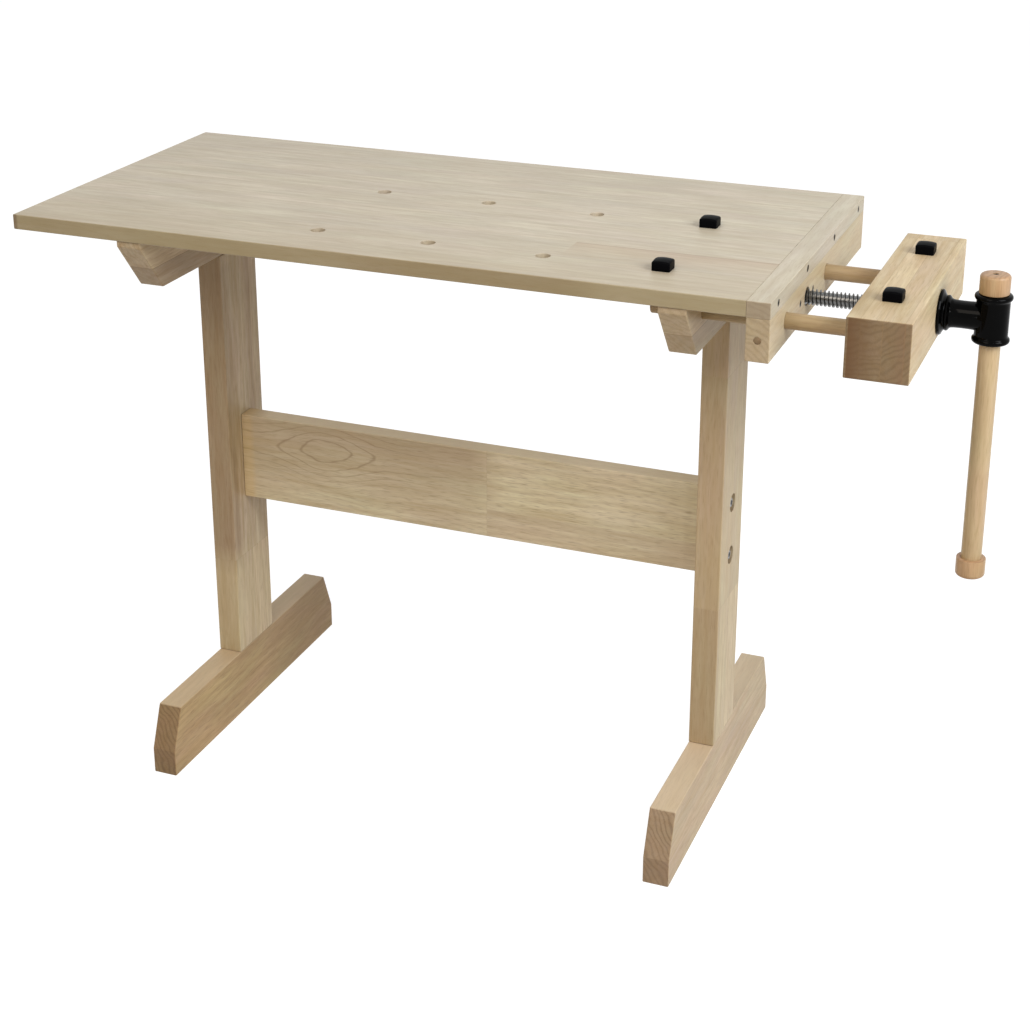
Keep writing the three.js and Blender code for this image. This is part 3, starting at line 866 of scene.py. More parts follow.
    def outline_cell(self, bore: Bore, normal: Vector) -> None:
        """Cuts a square cell round a bore into the face that it enters or leaves by.

        Args:
            bore: the hole or boss.
            normal: the way the face looks.
        """
        for across in bore.axis.others():
            for sign in (-1, 1):
                face = self.face_at(bore.centre, normal)
                place = bore.centre + across * (sign * CELL * bore.radius * MM)
                bmesh.ops.bisect_plane(self.bm, geom=[face, *face.edges, *face.verts], dist=TOUCH,
                                       plane_co=place, plane_no=across)

    def drawn(self, edges: list[BMEdge]) -> tuple[list[BMVert], list[BMEdge]]:
        """Draws new faces out of a loop of edges, still without any length.

        Args:
            edges: the loop.

        Returns:
            The corners and the edges of the loop at the new end.
        """
        made = bmesh.ops.extrude_edge_only(self.bm, edges=edges)["geom"]
        corners = corners_of(made)
        loop = [e for e in made if isinstance(e, BMEdge) and all(v in corners for v in e.verts)]
        return corners, loop

    def open_cell(self, bore: Bore, normal: Vector, steps: int = 32) -> Vector:
        """Turns a bore's cell into a ring round an opening.

        Args:
            bore: the hole.
            normal: the way the face looks.
            steps: the number of edges of the opening.

        Returns:
            The middle of the opening.
        """
        face = self.face_at(bore.centre, normal)
        middle = bore.centre + normal * (face.calc_center_median() - bore.centre).dot(normal)
        other_openings = {e for e in self.bm.edges if e.is_boundary}
        sides = list(face.edges)
        bmesh.ops.delete(self.bm, geom=[face], context="FACES_ONLY")
        for edge in sides:
            bmesh.ops.subdivide_edges(self.bm, edges=[edge], cuts=steps // 4 - 1)
        border = [e for e in self.bm.edges if e.is_boundary and e not in other_openings]
        for corner in self.drawn(border)[0]:
            corner.co = middle + (corner.co - middle).normalized() * (bore.radius * MM)
        return middle

    def rim(self, bore: Bore, middle: Vector) -> list[BMEdge]:
        """Finds a bore's circle.

        Args:
            bore: the hole or boss.
            middle: the middle of the circle.

        Returns:
            The edges of the circle.
        """
        def on_circle(corner: BMVert) -> bool:
            """Whether a corner lies on the circle."""
            arm = corner.co - middle
            return abs(arm.length - bore.radius * MM) < TOUCH and abs(arm.dot(bore.axis.vector)) < TOUCH

        return [e for e in self.bm.edges if all(on_circle(v) for v in e.verts)]

    def sink(self, bore: Bore) -> list[BMEdge]:
        """Makes one hole or boss in its cell.

        Args:
            bore: the hole or boss.

        Returns:
            The edges of its rims.
        """
        middle = self.open_cell(bore, bore.direction())
        if bore.depth is None:
            end = self.open_cell(bore, -bore.direction())
        else:
            end = middle - bore.direction() * (bore.depth * MM)
        corners, loop = self.drawn(self.rim(bore, middle))
        bmesh.ops.translate(self.bm, vec=end - middle, verts=corners)
        if bore.depth is None:
            self.merge()
        else:
            bmesh.ops.contextual_create(self.bm, geom=loop)
        blind = bore.depth is not None and bore.depth > 0
        return self.rim(bore, middle) + ([] if blind else self.rim(bore, end))

    def carved(self, *steps: tuple[Carve, "Form"]) -> "Form":
        """Joins other forms to this one or cuts them out of it.

        Args:
            *steps: what each step does and the form that it uses.

        Returns:
            A new form with the result.
        """
        forms = (self, *(form for _, form in steps))
        things = [stand(f"carved_{i}", form.mesh(f"carved_{i}")) for i, form in enumerate(forms)]
        for (carve, _), tool in zip(steps, things[1:]):
            modifier = things[0].modifiers.new(carve.name, "BOOLEAN")
            modifier.operation, modifier.object, modifier.solver = carve.value, tool, "EXACT"
        graph = bpy.context.evaluated_depsgraph_get()
        result = bpy.data.meshes.new_from_object(things[0].evaluated_get(graph))
        for thing in things:
            mesh = thing.data
            bpy.data.objects.remove(thing)
            bpy.data.meshes.remove(mesh)
        return Form(result)

    def mesh(self, name: str, smooth: float | None = None) -> Mesh:
        """Writes the form out as a mesh.

        Args:
            name: the mesh's name.
            smooth: the angle in degrees up to which the surface is shaded round, or None for flat faces.

        Returns:
            The mesh.
        """
        self.outward()
        mesh = bpy.data.meshes.new(name)
        self.bm.to_mesh(mesh)
        self.bm.free()
        if smooth is not None:
            mesh.shade_smooth()
            mesh.set_sharp_from_angle(angle=math.radians(smooth))
        return mesh

    def piece(self, name: str, material: Material, body: str, slot: str, node: str,
              smooth: float | None = None) -> None:
        """Finishes the form as a piece that stands for a CAD node.

        Args:
            name: the piece's name.
            material: its finish.
            body: the CAD body that it rides on.
            slot: the record's material slot; not used.
            node: the CAD node that it stands for.
            smooth: the angle in degrees up to which the surface is shaded round, or None for flat faces.
        """
        piece = stand(name, self.mesh(name, smooth))
        piece.data.materials.append(material)
        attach(piece, body)
        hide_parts(node)
        LOG.info("%s: %d faces", name, len(piece.data.polygons))


@dataclass(frozen=True)
class WoodScrew:
    """A countersunk screw with a cross recess, in millimetres; the last four are shares of its head."""

    head: float
    shank: float
    length: float
    tip_radius: float = 0.2
    cross_reach: float = 0.29
    cross_depth: float = 0.25
    rim_height: float = 0.12
    head_height: float = 0.5

    def form(self, face: Vector, axis: Axis, outward: int = 1) -> Form:
        """Shapes the screw, from the cross in its head to its tip.

        Args:
            face: the middle of the head's outer face.
            axis: the axis of the screw.
            outward: the sign of the axis towards which the head looks.

        Returns:
            The screw.
        """
        form, head = Form(), self.head
        out = axis.vector * outward
        place = upright(face, out)
        bmesh.ops.create_grid(form.bm, x_segments=3, y_segments=3, size=self.cross_reach * head * MM, matrix=place)
        cross = [f for f in form.bm.faces
                 if min(abs((f.calc_center_median() - face).dot(side)) for side in axis.others()) < 10 * TOUCH]
        border = [e for e in form.bm.edges if e.is_boundary]
        circle = bmesh.ops.create_circle(form.bm, cap_ends=False, radius=head / 2 * MM, segments=24,
                                         matrix=place)["verts"]
        ring = list({e for v in circle for e in v.link_edges})
        bmesh.ops.bridge_loops(form.bm, edges=border + ring)
        made = bmesh.ops.extrude_face_region(form.bm, geom=cross)["geom"]
        bmesh.ops.translate(form.bm, vec=out * (-self.cross_depth * head * MM), verts=corners_of(made))
        bmesh.ops.delete(form.bm, geom=[f for f in cross if f.is_valid], context="FACES")
        past = (head / 2, 0.0)
        for step in ((head / 2, self.rim_height * head), (self.shank / 2, self.head_height * head),
                     (self.shank / 2, self.length - self.shank), (self.tip_radius, self.length)):
            corners, ring = form.drawn(ring)
            bmesh.ops.translate(form.bm, vec=out * ((past[1] - step[1]) * MM), verts=corners)
            middle = Matrix.Translation(-(face - out * (step[1] * MM)))
            bmesh.ops.scale(form.bm, vec=Vector((1, 1, 1)) * (step[0] / past[0]), space=middle, verts=corners)
            past = step
        bmesh.ops.contextual_create(form.bm, geom=ring)
        return form


def dress(material: Material, *nodes: str) -> None:
    """Gives CAD nodes that keep their own shape a finish.

    Args:
        material: the finish.
        *nodes: the CAD nodes.
    """
    for node in nodes:
        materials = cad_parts[node].data.materials
        materials.clear()
        materials.append(material)
        LOG.info("%s: keeps its own shape", node)


@dataclass(frozen=True)
class ViseLine:
    """Where the screw and the guide rods run, and the holes that they run through, in millimetres."""

    y: float = -70.0
    screw_z: float = 760.0
    screw_hole: float = 12.0
    rod_z: float = 761.5
    rod_hole: float = 10.6
    rod_offset: float = 103.0

    def screw_at(self, x: float, aside: float = 0.0) -> Vector:
        """The point of the screw's axis at an X in metres, or one beside it by millimetres of Y."""
        return Vector((x, (self.y + aside) * MM, self.screw_z * MM))

    def holes(self, x: float) -> tuple[Bore, Bore, Bore]:
        """Lines up the holes of the front rod, the screw and the rear rod in a board.

        Args:
            x: the X of the board's outer face in metres.

        Returns:
            The three holes.
        """
        front, rear = (Bore(Vector((x, (self.y + way * self.rod_offset) * MM, self.rod_z * MM)), Axis.X, 1,
                            self.rod_hole) for way in (-1, 1))
        return front, Bore(self.screw_at(x), Axis.X, 1, self.screw_hole), rear


VISE = ViseLine()
BOLT_HEIGHTS = (440.0, 364.0)  # of the stretcher bolts, in millimetres


@dataclass
class BenchTop:
    """The glued-up top with its dog holes, the cap on its end, the apron under the cap, plug and screws."""

    hole_radius: float = 9.5
    hole_columns: tuple[float, ...] = (233.0, 80.0, -73.0, -226.0)
    hole_rows: tuple[float, ...] = (-170.0, 30.0)
    cap_screws: tuple[float, ...] = (-214.5, -71.5, 71.5, 214.5)
    cap_screw: WoodScrew = WoodScrew(8.5, 4.5, 59.7)
    cap_screw_depth: float = 0.3
    countersink: float = 4.6
    nut_screw_offset: float = 32.0
    plug_radius: float = 4.5
    plug_length: float = 12.0
    plug_play: float = 0.3

    def build(self) -> None:
        """Builds all pieces of the top."""
        self.slab()
        self.cap()
        self.apron()

    def slab(self) -> None:
        """The top itself, with two rows of round holes."""
        low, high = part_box("bench_top")
        wood = Rubberwood("rubberwood_top", TOP_TONE, Axis.X, Axis.Y, low, seed=3, stave_width=66.7,
                          row_shift=-16.7, variation=0.06, mottle=0.1, seam=0.16, end_share=0.25, roughness=0.44,
                          stains=TOP_STAINS)
        holes = [Bore(Vector((x * MM, y * MM, high.z)), Axis.Z, 1, self.hole_radius)
                 for x in self.hole_columns for y in self.hole_rows]
        form = Form().block(low, high).board(holes, rim=0.6, flush=((Axis.X, high.x),))
        form.piece("top_slab", wood.material(), "bench", "top_wood", "bench_top")

    def cap(self) -> None:
        """The cap across the end of the top, with four countersunk screws."""
        low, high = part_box("end_cap")
        wood = Rubberwood("rubberwood_cap", TOP_TONE, Axis.Y, Axis.Z, low, seed=11, end_share=0.7,
                          end_rings=0.25, roughness=0.46)
        holes = [Bore(Vector((high.x, y * MM, (low.z + high.z) / 2)), Axis.X, 1, self.countersink, self.countersink)
                 for y in self.cap_screws]
        form = Form().block(low, high).board(holes, rim=0.3, flush=((Axis.X, low.x), (Axis.Z, low.z)))
        form.piece("cap_rail", wood.material(), "bench", "top_wood", "end_cap")
        steel = DARK_STEEL.material()
        for number, hole in enumerate(holes, 1):
            screw = self.cap_screw.form(hole.centre - point(self.cap_screw_depth, 0, 0), Axis.X)
            screw.piece(f"cap_screw_{number}", steel, "bench", "dark_steel", f"end_cap_screw_{number}", ROUND)

    def apron(self) -> None:
        """The apron that carries the vise nut and guides the rods, with its end plug."""
        low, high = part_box("vise_apron")
        wood = Rubberwood("rubberwood_apron", APRON_TONE, Axis.Y, Axis.Z, low, seed=23, end_share=0.4)
        front_rod, screw, rear_rod = VISE.holes(high.x)
        seats = [Bore(VISE.screw_at(high.x, aside), Axis.X, 1, self.countersink, self.countersink)
                 for aside in (-self.nut_screw_offset, self.nut_screw_offset)]
        plug = Space.of("apron_plug").middle
        face = Vector((plug.x, low.y, plug.z))
        socket = Bore(face, Axis.Y, -1, self.plug_radius + self.plug_play, self.plug_length + self.plug_play)
        form = Form().block(low, high).board([front_rod, rear_rod, screw, *seats, socket], rim=0.3,
                                             flush=((Axis.Z, high.z),))
        form.piece("vise_apron_rail", wood.material(), "bench", "frame_wood", "vise_apron")
        end = Rubberwood("rubberwood_plug", JAW_TONE, Axis.Y, Axis.X, plug, seed=31, end_share=0.8)
        peg = Form().rod(face, Axis.Y, self.plug_radius, self.plug_length, 32).soften(0.4, 2)
        peg.piece("apron_peg", end.material(), "bench", "turned_wood", "apron_plug", ROUND)


@dataclass
class LegFrame:
    """One I-shaped leg frame: foot, post and bearer."""

    side: Side
    foot_tone: WoodTone
    foot_stains: tuple[Stain, ...]
    post_tone: WoodTone
    post_stains: tuple[Stain, ...]
    seed: float
    post_joint: float
    post_stave: float
    layer_contrast: float
    half_length: float = 247.0
    foot_height: float = 98.0
    toe_height: float = 38.0
    toe_inset: float = 24.0
    layer_height: float = 31.0
    layer_width: float = 42.0
    bearer_slant: float = 50.0
    bearer_nose: float = 8.0
    bolt_recess: Hole = (12.5, 12.0)
    screw_hole: Hole = (8.0, 40.0)
    screw_offset: float = 125.0

    def build(self) -> None:
        """Builds all pieces of the frame."""
        self.foot()
        self.post()
        self.bearer()

    def plank(self, node: str, wood: Rubberwood, outline: Profile, bores: list[Bore]) -> None:
        """Makes a board that lies across the bench.

        Args:
            node: the CAD node that it stands for.
            wood: its finish.
            outline: Y and Z of its corners in millimetres.
            bores: its holes.
        """
        low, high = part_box(node)
        form = Form().prism([Vector((low.x, y * MM, z * MM)) for y, z in outline], Vector((high.x - low.x, 0, 0)))
        form.board(bores, ease=1.4).piece(f"{node}_plank", wood.material(), "bench", "frame_wood", node)

    def foot(self) -> None:
        """The foot, with its toes cut to a slant."""
        node = f"{self.side.word}_foot"
        half, inner = self.half_length, self.half_length - self.toe_inset
        outline = [(-half, 0), (half, 0), (half, self.toe_height), (inner, self.foot_height),
                   (-inner, self.foot_height), (-half, self.toe_height)]
        wood = Rubberwood(f"rubberwood_{node}", self.foot_tone, Axis.Y, Axis.Z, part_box(node)[0], self.seed + 1,
                          mottle=0.13, pore_share=0.45, end_rings=0.9, stains=self.foot_stains)
        self.plank(node, wood, outline, [])

    def bearer(self) -> None:
        """The bearer under the top, with slanted ends and deep holes for the screws into the top."""
        node = f"{self.side.word}_bearer"
        low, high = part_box(node)
        half, inner = self.half_length, self.half_length - self.bearer_slant
        bottom, top = low.z / MM, high.z / MM
        nose = top - self.bearer_nose
        outline = [(-inner, bottom), (inner, bottom), (half, nose), (half, top), (-half, top), (-half, nose)]
        bores = [Bore(Vector(((low.x + high.x) / 2, y * MM, low.z)), Axis.Z, -1, *self.screw_hole)
                 for y in (-self.screw_offset, self.screw_offset)]
        if self.side is Side.RIGHT:
            bores += VISE.holes(high.x)
        lower = Stain(-10, 510, -400, self.layer_height, "#7c6044", self.layer_contrast)
        wood = Rubberwood(f"rubberwood_{node}", self.post_tone, Axis.Y, Axis.Z, low, self.seed + 2,
                          self.layer_width, row_shift=self.layer_width - self.layer_height, seam=0.85,
                          end_share=0.35, end_rings=0.5, stains=(lower,))
        self.plank(node, wood, outline, bores)

    def post(self) -> None:
        """The post, with two recesses for the heads of the stretcher bolts."""
        node = f"{self.side.word}_post"
        space = Space.of(node)
        wood = Rubberwood(f"rubberwood_{node}", self.post_tone, Axis.Z, Axis.Y, space.low, self.seed + 3,
                          stave_width=50.0, stave_length=self.post_stave, row_shift=0.0, joint=self.post_joint,
                          variation=0.1, pore_share=0.45, stains=self.post_stains)
        outer = self.side.faces(space)[1]
        bores = [Bore(Vector((outer, 0, z * MM)), Axis.X, self.side.value, *self.bolt_recess) for z in BOLT_HEIGHTS]
        form = Form().block(space.low, space.high).board(bores, ease=1.4, rim=0.4)
        form.piece(f"{node}_plank", wood.material(), "bench", "frame_wood", node)


@dataclass
class Stretcher:
    """The stretcher board between the posts and the bolts, washers and barrel nuts at its ends."""

    nut_inset: float = 40.0
    nut_radius: float = 7.0
    nut_hole: Hole = (7.3, 24.3)
    bolt_radius: float = 4.0
    head_radius: float = 6.5
    head_height: float = 8.0
    head_chamfer: tuple[float, float] = (0.8, 1.0)
    seat_inset: float = 5.3
    socket_radius: float = 3.9
    washer_radii: tuple[float, float] = (4.3, 10.0)

    def build(self) -> None:
        """Builds the board and its hardware."""
        low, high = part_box("stretcher")
        wood = Rubberwood("rubberwood_stretcher", STRETCHER_TONE, Axis.X, Axis.Z, low, seed=5, joint=382.0,
                          variation=0.02, pore_share=0.48, seam=0.15, stains=STRETCHER_STAINS_AND_LIGHT, figure=STRETCHER_EYE)
        inset = self.nut_inset * MM
        bores = [Bore(Vector((x, high.y, z * MM)), Axis.Y, 1, *self.nut_hole)
                 for x in (low.x + inset, high.x - inset) for z in BOLT_HEIGHTS]
        form = Form().block(low, high).board(bores, ease=1.4, rim=0.4)
        form.piece("stretcher_plank", wood.material(), "bench", "frame_wood", "stretcher")
        steel = PLATED_STEEL.material()
        for side in Side:
            for level in ("upper", "lower"):
                self.fastener(side, f"{side.word}_{level}", steel)

    def fastener(self, side: Side, place: str, steel: Material) -> None:
        """Makes one socket-head bolt with its washer and barrel nut.

        Args:
            side: the end of the stretcher.
            place: side and level, as in the nodes' names.
            steel: the finish of all three.
        """
        space = Space.of(f"stretcher_bolt_{place}")
        tip, outer = side.faces(space)
        seat = Vector((outer - side.value * self.seat_inset * MM, space.middle.y, space.middle.z))
        depth, height, head = abs(seat.x - tip) / MM, self.head_height, self.head_radius
        inward, down = self.head_chamfer
        profile = [(0, -depth), (self.bolt_radius, -depth), (self.bolt_radius, 0), (head, 0), (head, height - down),
                   (head - inward, height), (0, height)]
        bolt = Form().turned([(r, h * side.value) for r, h in profile], seat, Axis.X, 40)
        socket = Form().stud(seat + point(side.value * height, 0, 0), Axis.X, self.socket_radius, height, 6)
        bolt.carved((Carve.CUT, socket)).piece(
            f"socket_bolt_{place}", steel, "bench", "bright_steel", f"stretcher_bolt_{place}", ROUND)

        space = Space.of(f"bolt_washer_{place}")
        (hole, rim), thick = self.washer_radii, space.size.x
        washer = Form().turned([(hole, 0), (rim, 0), (rim, thick), (hole, thick), (hole, 0)],
                               Vector((space.low.x, seat.y, seat.z)), Axis.X).soften(0.25, 2)
        washer.piece(f"flat_washer_{place}", steel, "bench", "bright_steel", f"bolt_washer_{place}", ROUND)

        space = Space.of(f"barrel_nut_{place}")
        nut = Form().stud(space.middle, Axis.Y, self.nut_radius, space.size.y, 32).soften(0.5, 2)
        nut.piece(f"cross_nut_{place}", steel, "bench", "bright_steel", f"barrel_nut_{place}", ROUND)


@dataclass
class EndVise:
    """The jaw on its guide rods, the screw with its hub, and the nut behind the apron.

    The thread's section is given in shares of its depth and pitch, and the other profiles as radius and height.
    """

    dog_offset: float = 100.0
    dog_hole: Hole = (9.5, 28.0)
    collar_recess: Hole = (16.0, 14.0)
    thread_pitch: float = 5.0
    thread_turns: int = 38
    thread_radius: float = 10.0
    thread_depth: float = 2.75
    thread_section: Profile = ((0, 0.0), (0, 0.3), (1, 0.47), (1, 0.68), (0, 0.85), (0, 1.0))
    shank_radius: float = 8.0
    shank_start: float = 180.0
    nut_hole: float = 10.6
    nut_radius: float = 17.0
    nut_end: float = 24.0
    nut_screw: WoodScrew = WoodScrew(8.5, 5.0, 36.0)
    plate_reach: float = 29.0
    plate_radius: float = 16.0
    plate_thickness: float = 4.0
    barrel_radius: float = 22.5
    barrel_hole: Hole = (13.1, 80.0)
    flange_profile: Profile = (
        (0, 0.6), (26.8, 0.6), (27.5, 1.3), (27.5, 2.6), (26.6, 4.0), (24.0, 5.2), (21.4, 6.6), (20.6, 7.8),
        (21.2, 8.6), (21.6, 9.8), (21.2, 11.2), (19.8, 12.4), (18.0, 13.6), (17.2, 15.6), (16.8, 19.0),
        (16.6, 27.0), (16.7, 36.0))
    neck_profile: Profile = ((17.2, -16), (17.8, -6), (0, -6))
    barrel_profile: Profile = (
        (0, 30), (18.8, 30), (20.8, 29.5), (22.0, 28.4), (22.5, 26.8), (22.4, 25.2), (21.6, 23.8), (20.5, 22.9),
        (20.0, 22.0), (19.9, 20.0))

    def build(self) -> None:
        """Builds all pieces of the vise but its handle."""
        self.jaw()
        self.rods()
        self.nut()
        self.screw()
        self.hub()

    def jaw(self) -> None:
        """The wooden jaw, with two dog holes and the recess for the collar."""
        space = Space.of("vise_jaw")
        wood = Rubberwood("rubberwood_jaw", JAW_TONE, Axis.Y, Axis.X, space.high, seed=41, stave_width=25.0,
                          row_shift=8.0, variation=0.12, mottle=0.1, seam=0.4, end_share=0.76, end_rings=0.5,
                          stains=JAW_STAINS)
        bores = [Bore(Vector((space.middle.x, (VISE.y + y) * MM, space.high.z)), Axis.Z, 1, *self.dog_hole)
                 for y in (-self.dog_offset, self.dog_offset)]
        bores.append(Bore(VISE.screw_at(space.low.x), Axis.X, -1, *self.collar_recess))
        form = Form().block(space.low, space.high).board(bores, ease=1.6)
        form.piece("jaw_block", wood.material(), "jaw", "jaw_wood", "vise_jaw")

    def rods(self) -> None:
        """The two turned guide rods."""
        for seed, place in enumerate(("front", "rear"), 51):
            node = f"guide_rod_{place}"
            space = Space.of(node)
            base = Vector((space.low.x, space.middle.y, space.middle.z))
            wood = Rubberwood(f"turned_rod_{place}", ROD_TONE, Axis.X, Axis.Y, base, seed)
            rod = Form().rod(base, Axis.X, space.size.z / 2, space.size.x).soften(1.5)
            rod.piece(f"turned_{node}", wood.material(), "jaw", "turned_wood", node, ROUND)

    def nut(self) -> None:
        """The flanged nut behind the apron and the two screws that hold it."""
        steel = DARK_STEEL.material()
        centre = VISE.screw_at(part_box("vise_nut")[0].x)
        reach, radius, hole = self.plate_reach, self.plate_radius, self.nut_hole
        turns = [(way, math.radians(15 * step - 90 * way)) for way in (1, -1) for step in range(13)]
        outline = [centre + point(0, way * reach + radius * math.cos(turn), radius * math.sin(turn))
                   for way, turn in turns]
        nut = Form().prism(outline, point(self.plate_thickness, 0, 0))
        nut.board([Bore(centre, Axis.X, -1, hole)], ease=0.5, rim=0.3)
        start, rim, end = self.plate_thickness - 0.1, self.nut_radius, self.nut_end
        nut.turned([(hole, start), (rim, start), (rim, end), (hole, end), (hole, start)], centre, Axis.X)
        nut.piece("vise_nut_casting", steel, "bench", "dark_steel", "vise_nut", ROUND)
        for number in (1, 2):
            space = Space.of(f"nut_screw_{number}")
            screw = self.nut_screw.form(Vector((space.high.x, space.middle.y, centre.z)), Axis.X)
            screw.piece(f"nut_wood_screw_{number}", steel, "bench", "dark_steel", f"nut_screw_{number}", ROUND)

    def screw(self) -> None:
        """The vise screw: a cut thread and a plain shank in one piece."""
        low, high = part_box("vise_screw")
        depth, pitch = self.thread_depth, self.thread_pitch
        root = self.thread_radius - depth
        turn = [(root + rise * depth, share * pitch) for rise, share in self.thread_section]
        form = Form().thread(VISE.screw_at(low.x - pitch * MM), Axis.X, turn, self.thread_turns)
        shank = low.x + self.shank_start * MM
        form.stud(VISE.screw_at((shank + high.x) / 2), Axis.X, self.shank_radius, (high.x - shank) / MM, 40)
        form.piece("threaded_screw", OILED_STEEL_PAINTED_DARK.material(), "screw", "bright_steel", "vise_screw", smooth=30)

    def hub(self) -> None:
        """The cast hub: a flange against the jaw, a waisted neck and a barrel that holds the handle."""
        jaw_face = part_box("vise_jaw")[1].x
        handle_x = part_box("handle_hub")[1].x - self.barrel_radius * MM
        length = (handle_x - jaw_face) / MM
        profile = [*self.flange_profile, *((r, length + h) for r, h in self.neck_profile)]
        neck = Form().turned(profile, VISE.screw_at(jaw_face), Axis.X, 64)
        centre = VISE.screw_at(handle_x)
        mirrored = [(r, -h) for r, h in reversed(self.barrel_profile)]
        barrel = Form().turned([*self.barrel_profile, *mirrored], centre, Axis.Z, 64)
        hole = Form().stud(centre, Axis.Z, *self.barrel_hole, 64)
        enamel = ENAMEL.material()
        hub = barrel.carved((Carve.JOIN, neck), (Carve.CUT, hole))
        hub.piece("enamelled_hub", enamel, "screw", "black_iron", "handle_hub", smooth=32)
        dress(enamel, "hub_pin")
        dress(DARK_STEEL.material(), "retaining_collar")


@dataclass
class Handle:
    """The sliding handle: a turned bar with a knob screwed on each end.

    A knob's foot and crown are given as how far each point lies in from its radius and from its own end.
    """

    bar_radius: float = 12.5
    knob_radius: float = 18.0
    knob_height: float = 24.0
    knob_foot: Profile = ((1.2, 0), (0.3, 0.5), (0, 1.6))
    knob_crown: Profile = ((0, 3.6), (0.3, 2.4), (1.1, 1.2), (2.4, 0.3), (3.8, 0))
    knob_rim: float = 0.3
    knob_play: float = 0.3
    socket_depth: float = 14.0
    screw_hole: Hole = (3.6, 4.0)
    screw: WoodScrew = WoodScrew(6.8, 3.5, 30.0)
    screw_depth: float = 0.8

    def build(self) -> None:
        """Builds the bar, the knobs and their screws."""
        space = Space.of("handle_bar")
        base = Vector((space.middle.x, space.middle.y, space.low.z))
        wood = Rubberwood("turned_handle", TURNED_TONE, Axis.Z, Axis.Y, base, seed=61, roughness=0.42)
        bar = Form().rod(base, Axis.Z, self.bar_radius, space.size.z, 56).soften(1.0)
        bar.piece("turned_bar", wood.material(), "handle", "turned_wood", "handle_bar", ROUND)
        steel = DARK_STEEL.material()
        for seed, end in enumerate(KnobEnd, 71):
            self.knob(end, seed, steel)

    def knob(self, end: KnobEnd, seed: float, steel: Material) -> None:
        """Makes one knob and its screw.

        Args:
            end: the end of the handle that it sits on.
            seed: the seed of its grain.
            steel: the finish of the screw.
        """
        place, way = end.name.lower(), end.value
        space = Space.of(f"handle_knob_{place}")
        centre = space.middle
        inner, outer = (space.low.z, space.high.z) if end is KnobEnd.TOP else (space.high.z, space.low.z)
        base = Vector((centre.x, centre.y, inner))
        wood = Rubberwood(f"turned_knob_{place}", KNOB_TONE, Axis.Z, Axis.Y, base, seed, roughness=0.4)
        radius, height, inside = self.knob_radius, self.knob_height, self.bar_radius + self.knob_play
        (hole, depth), rim, socket = self.screw_hole, self.knob_rim, self.socket_depth
        profile = [(inside, 0), *((radius - inset, rise) for inset, rise in self.knob_foot),
                   *((radius - inset, height - drop) for inset, drop in self.knob_crown),
                   (hole + rim, height), (hole, height - rim), (hole, height - depth), (0, height - depth),
                   (0, socket), (inside, socket), (inside, 0)]
        knob = Form().turned([(r, h * way) for r, h in profile], base, Axis.Z, 56)
        knob.piece(f"turned_knob_{place}", wood.material(), "handle", "turned_wood", f"handle_knob_{place}",
                   smooth=40)
        face = Vector((centre.x, centre.y, outer - way * self.screw_depth * MM))
        screw = self.screw.form(face, Axis.Z, way)
        screw.piece(f"knob_wood_screw_{place}", steel, "handle", "dark_steel", f"knob_screw_{place}", ROUND)


@dataclass
class BenchDog:
    """One dog: a square head with a domed top on a round shank."""

    node: str
    head_height: float = 13.0
    shank_radius: float = 9.2
    foot_height: float = 4.0
    dome_radius: float = 52.0
    dome_cuts: int = 8
    corner: float = 2.2
    shank_ease: float = 0.4

    def build(self, nylon: Material) -> None:
        """Builds the dog.

        Args:
            nylon: the finish that all dogs share.
        """
        space = Space.of(self.node)
        low, high, middle = space.low, space.high, space.middle
        bottom = high.z - self.head_height * MM
        form = Form().block(Vector((low.x, low.y, bottom)), high)
        form.bm.normal_update()
        top = max(form.bm.faces, key=lambda face: face.calc_center_median().z)
        bmesh.ops.subdivide_edges(form.bm, edges=top.edges[:], cuts=self.dome_cuts, use_grid_fill=True)
        form.bm.normal_update()
        form.bevel([e for e in form.sharp() if max(v.co.z for v in e.verts) > bottom + 10 * TOUCH], self.corner, 4)
        for vertex in form.bm.verts:
            rise = max(0.0, (vertex.co.z - bottom) / MM - self.foot_height) / (self.head_height - self.foot_height)
            spread = (vertex.co - middle).xy.length_squared / MM
            vertex.co.z -= rise * spread / (2 * self.dome_radius)
        form.bm.normal_update()
        shank = Bore(Vector((middle.x, middle.y, bottom)), Axis.Z, -1, self.shank_radius, (low.z - bottom) / MM)
        form.outline_cell(shank, shank.direction())
        rims = form.sink(shank)
        form.outward().bevel(rims, self.shank_ease, 2)
        form.piece(f"{self.node}_moulding", nylon, self.node, "black_plastic", self.node, ROUND)


@dataclass(frozen=True)
class Lamp:
    """A square soft lamp: place and target in millimetres, its side in metres, its power in watts."""

    name: str
    place: Place
    target: Place
    side: float
    power: float
    colour: str

    def build(self) -> None:
        """Hangs the lamp in the scene."""
        data = bpy.data.lights.new(self.name, "AREA")
        data.shape = "SQUARE"
        data.size = self.side
        data.energy = self.power
        data.color = linear(self.colour)[:3]
        lamp = stand(self.name, data)
        lamp.location = point(*self.place)
        lamp.rotation_euler = (point(*self.target) - point(*self.place)).to_track_quat("-Z", "Y").to_euler()


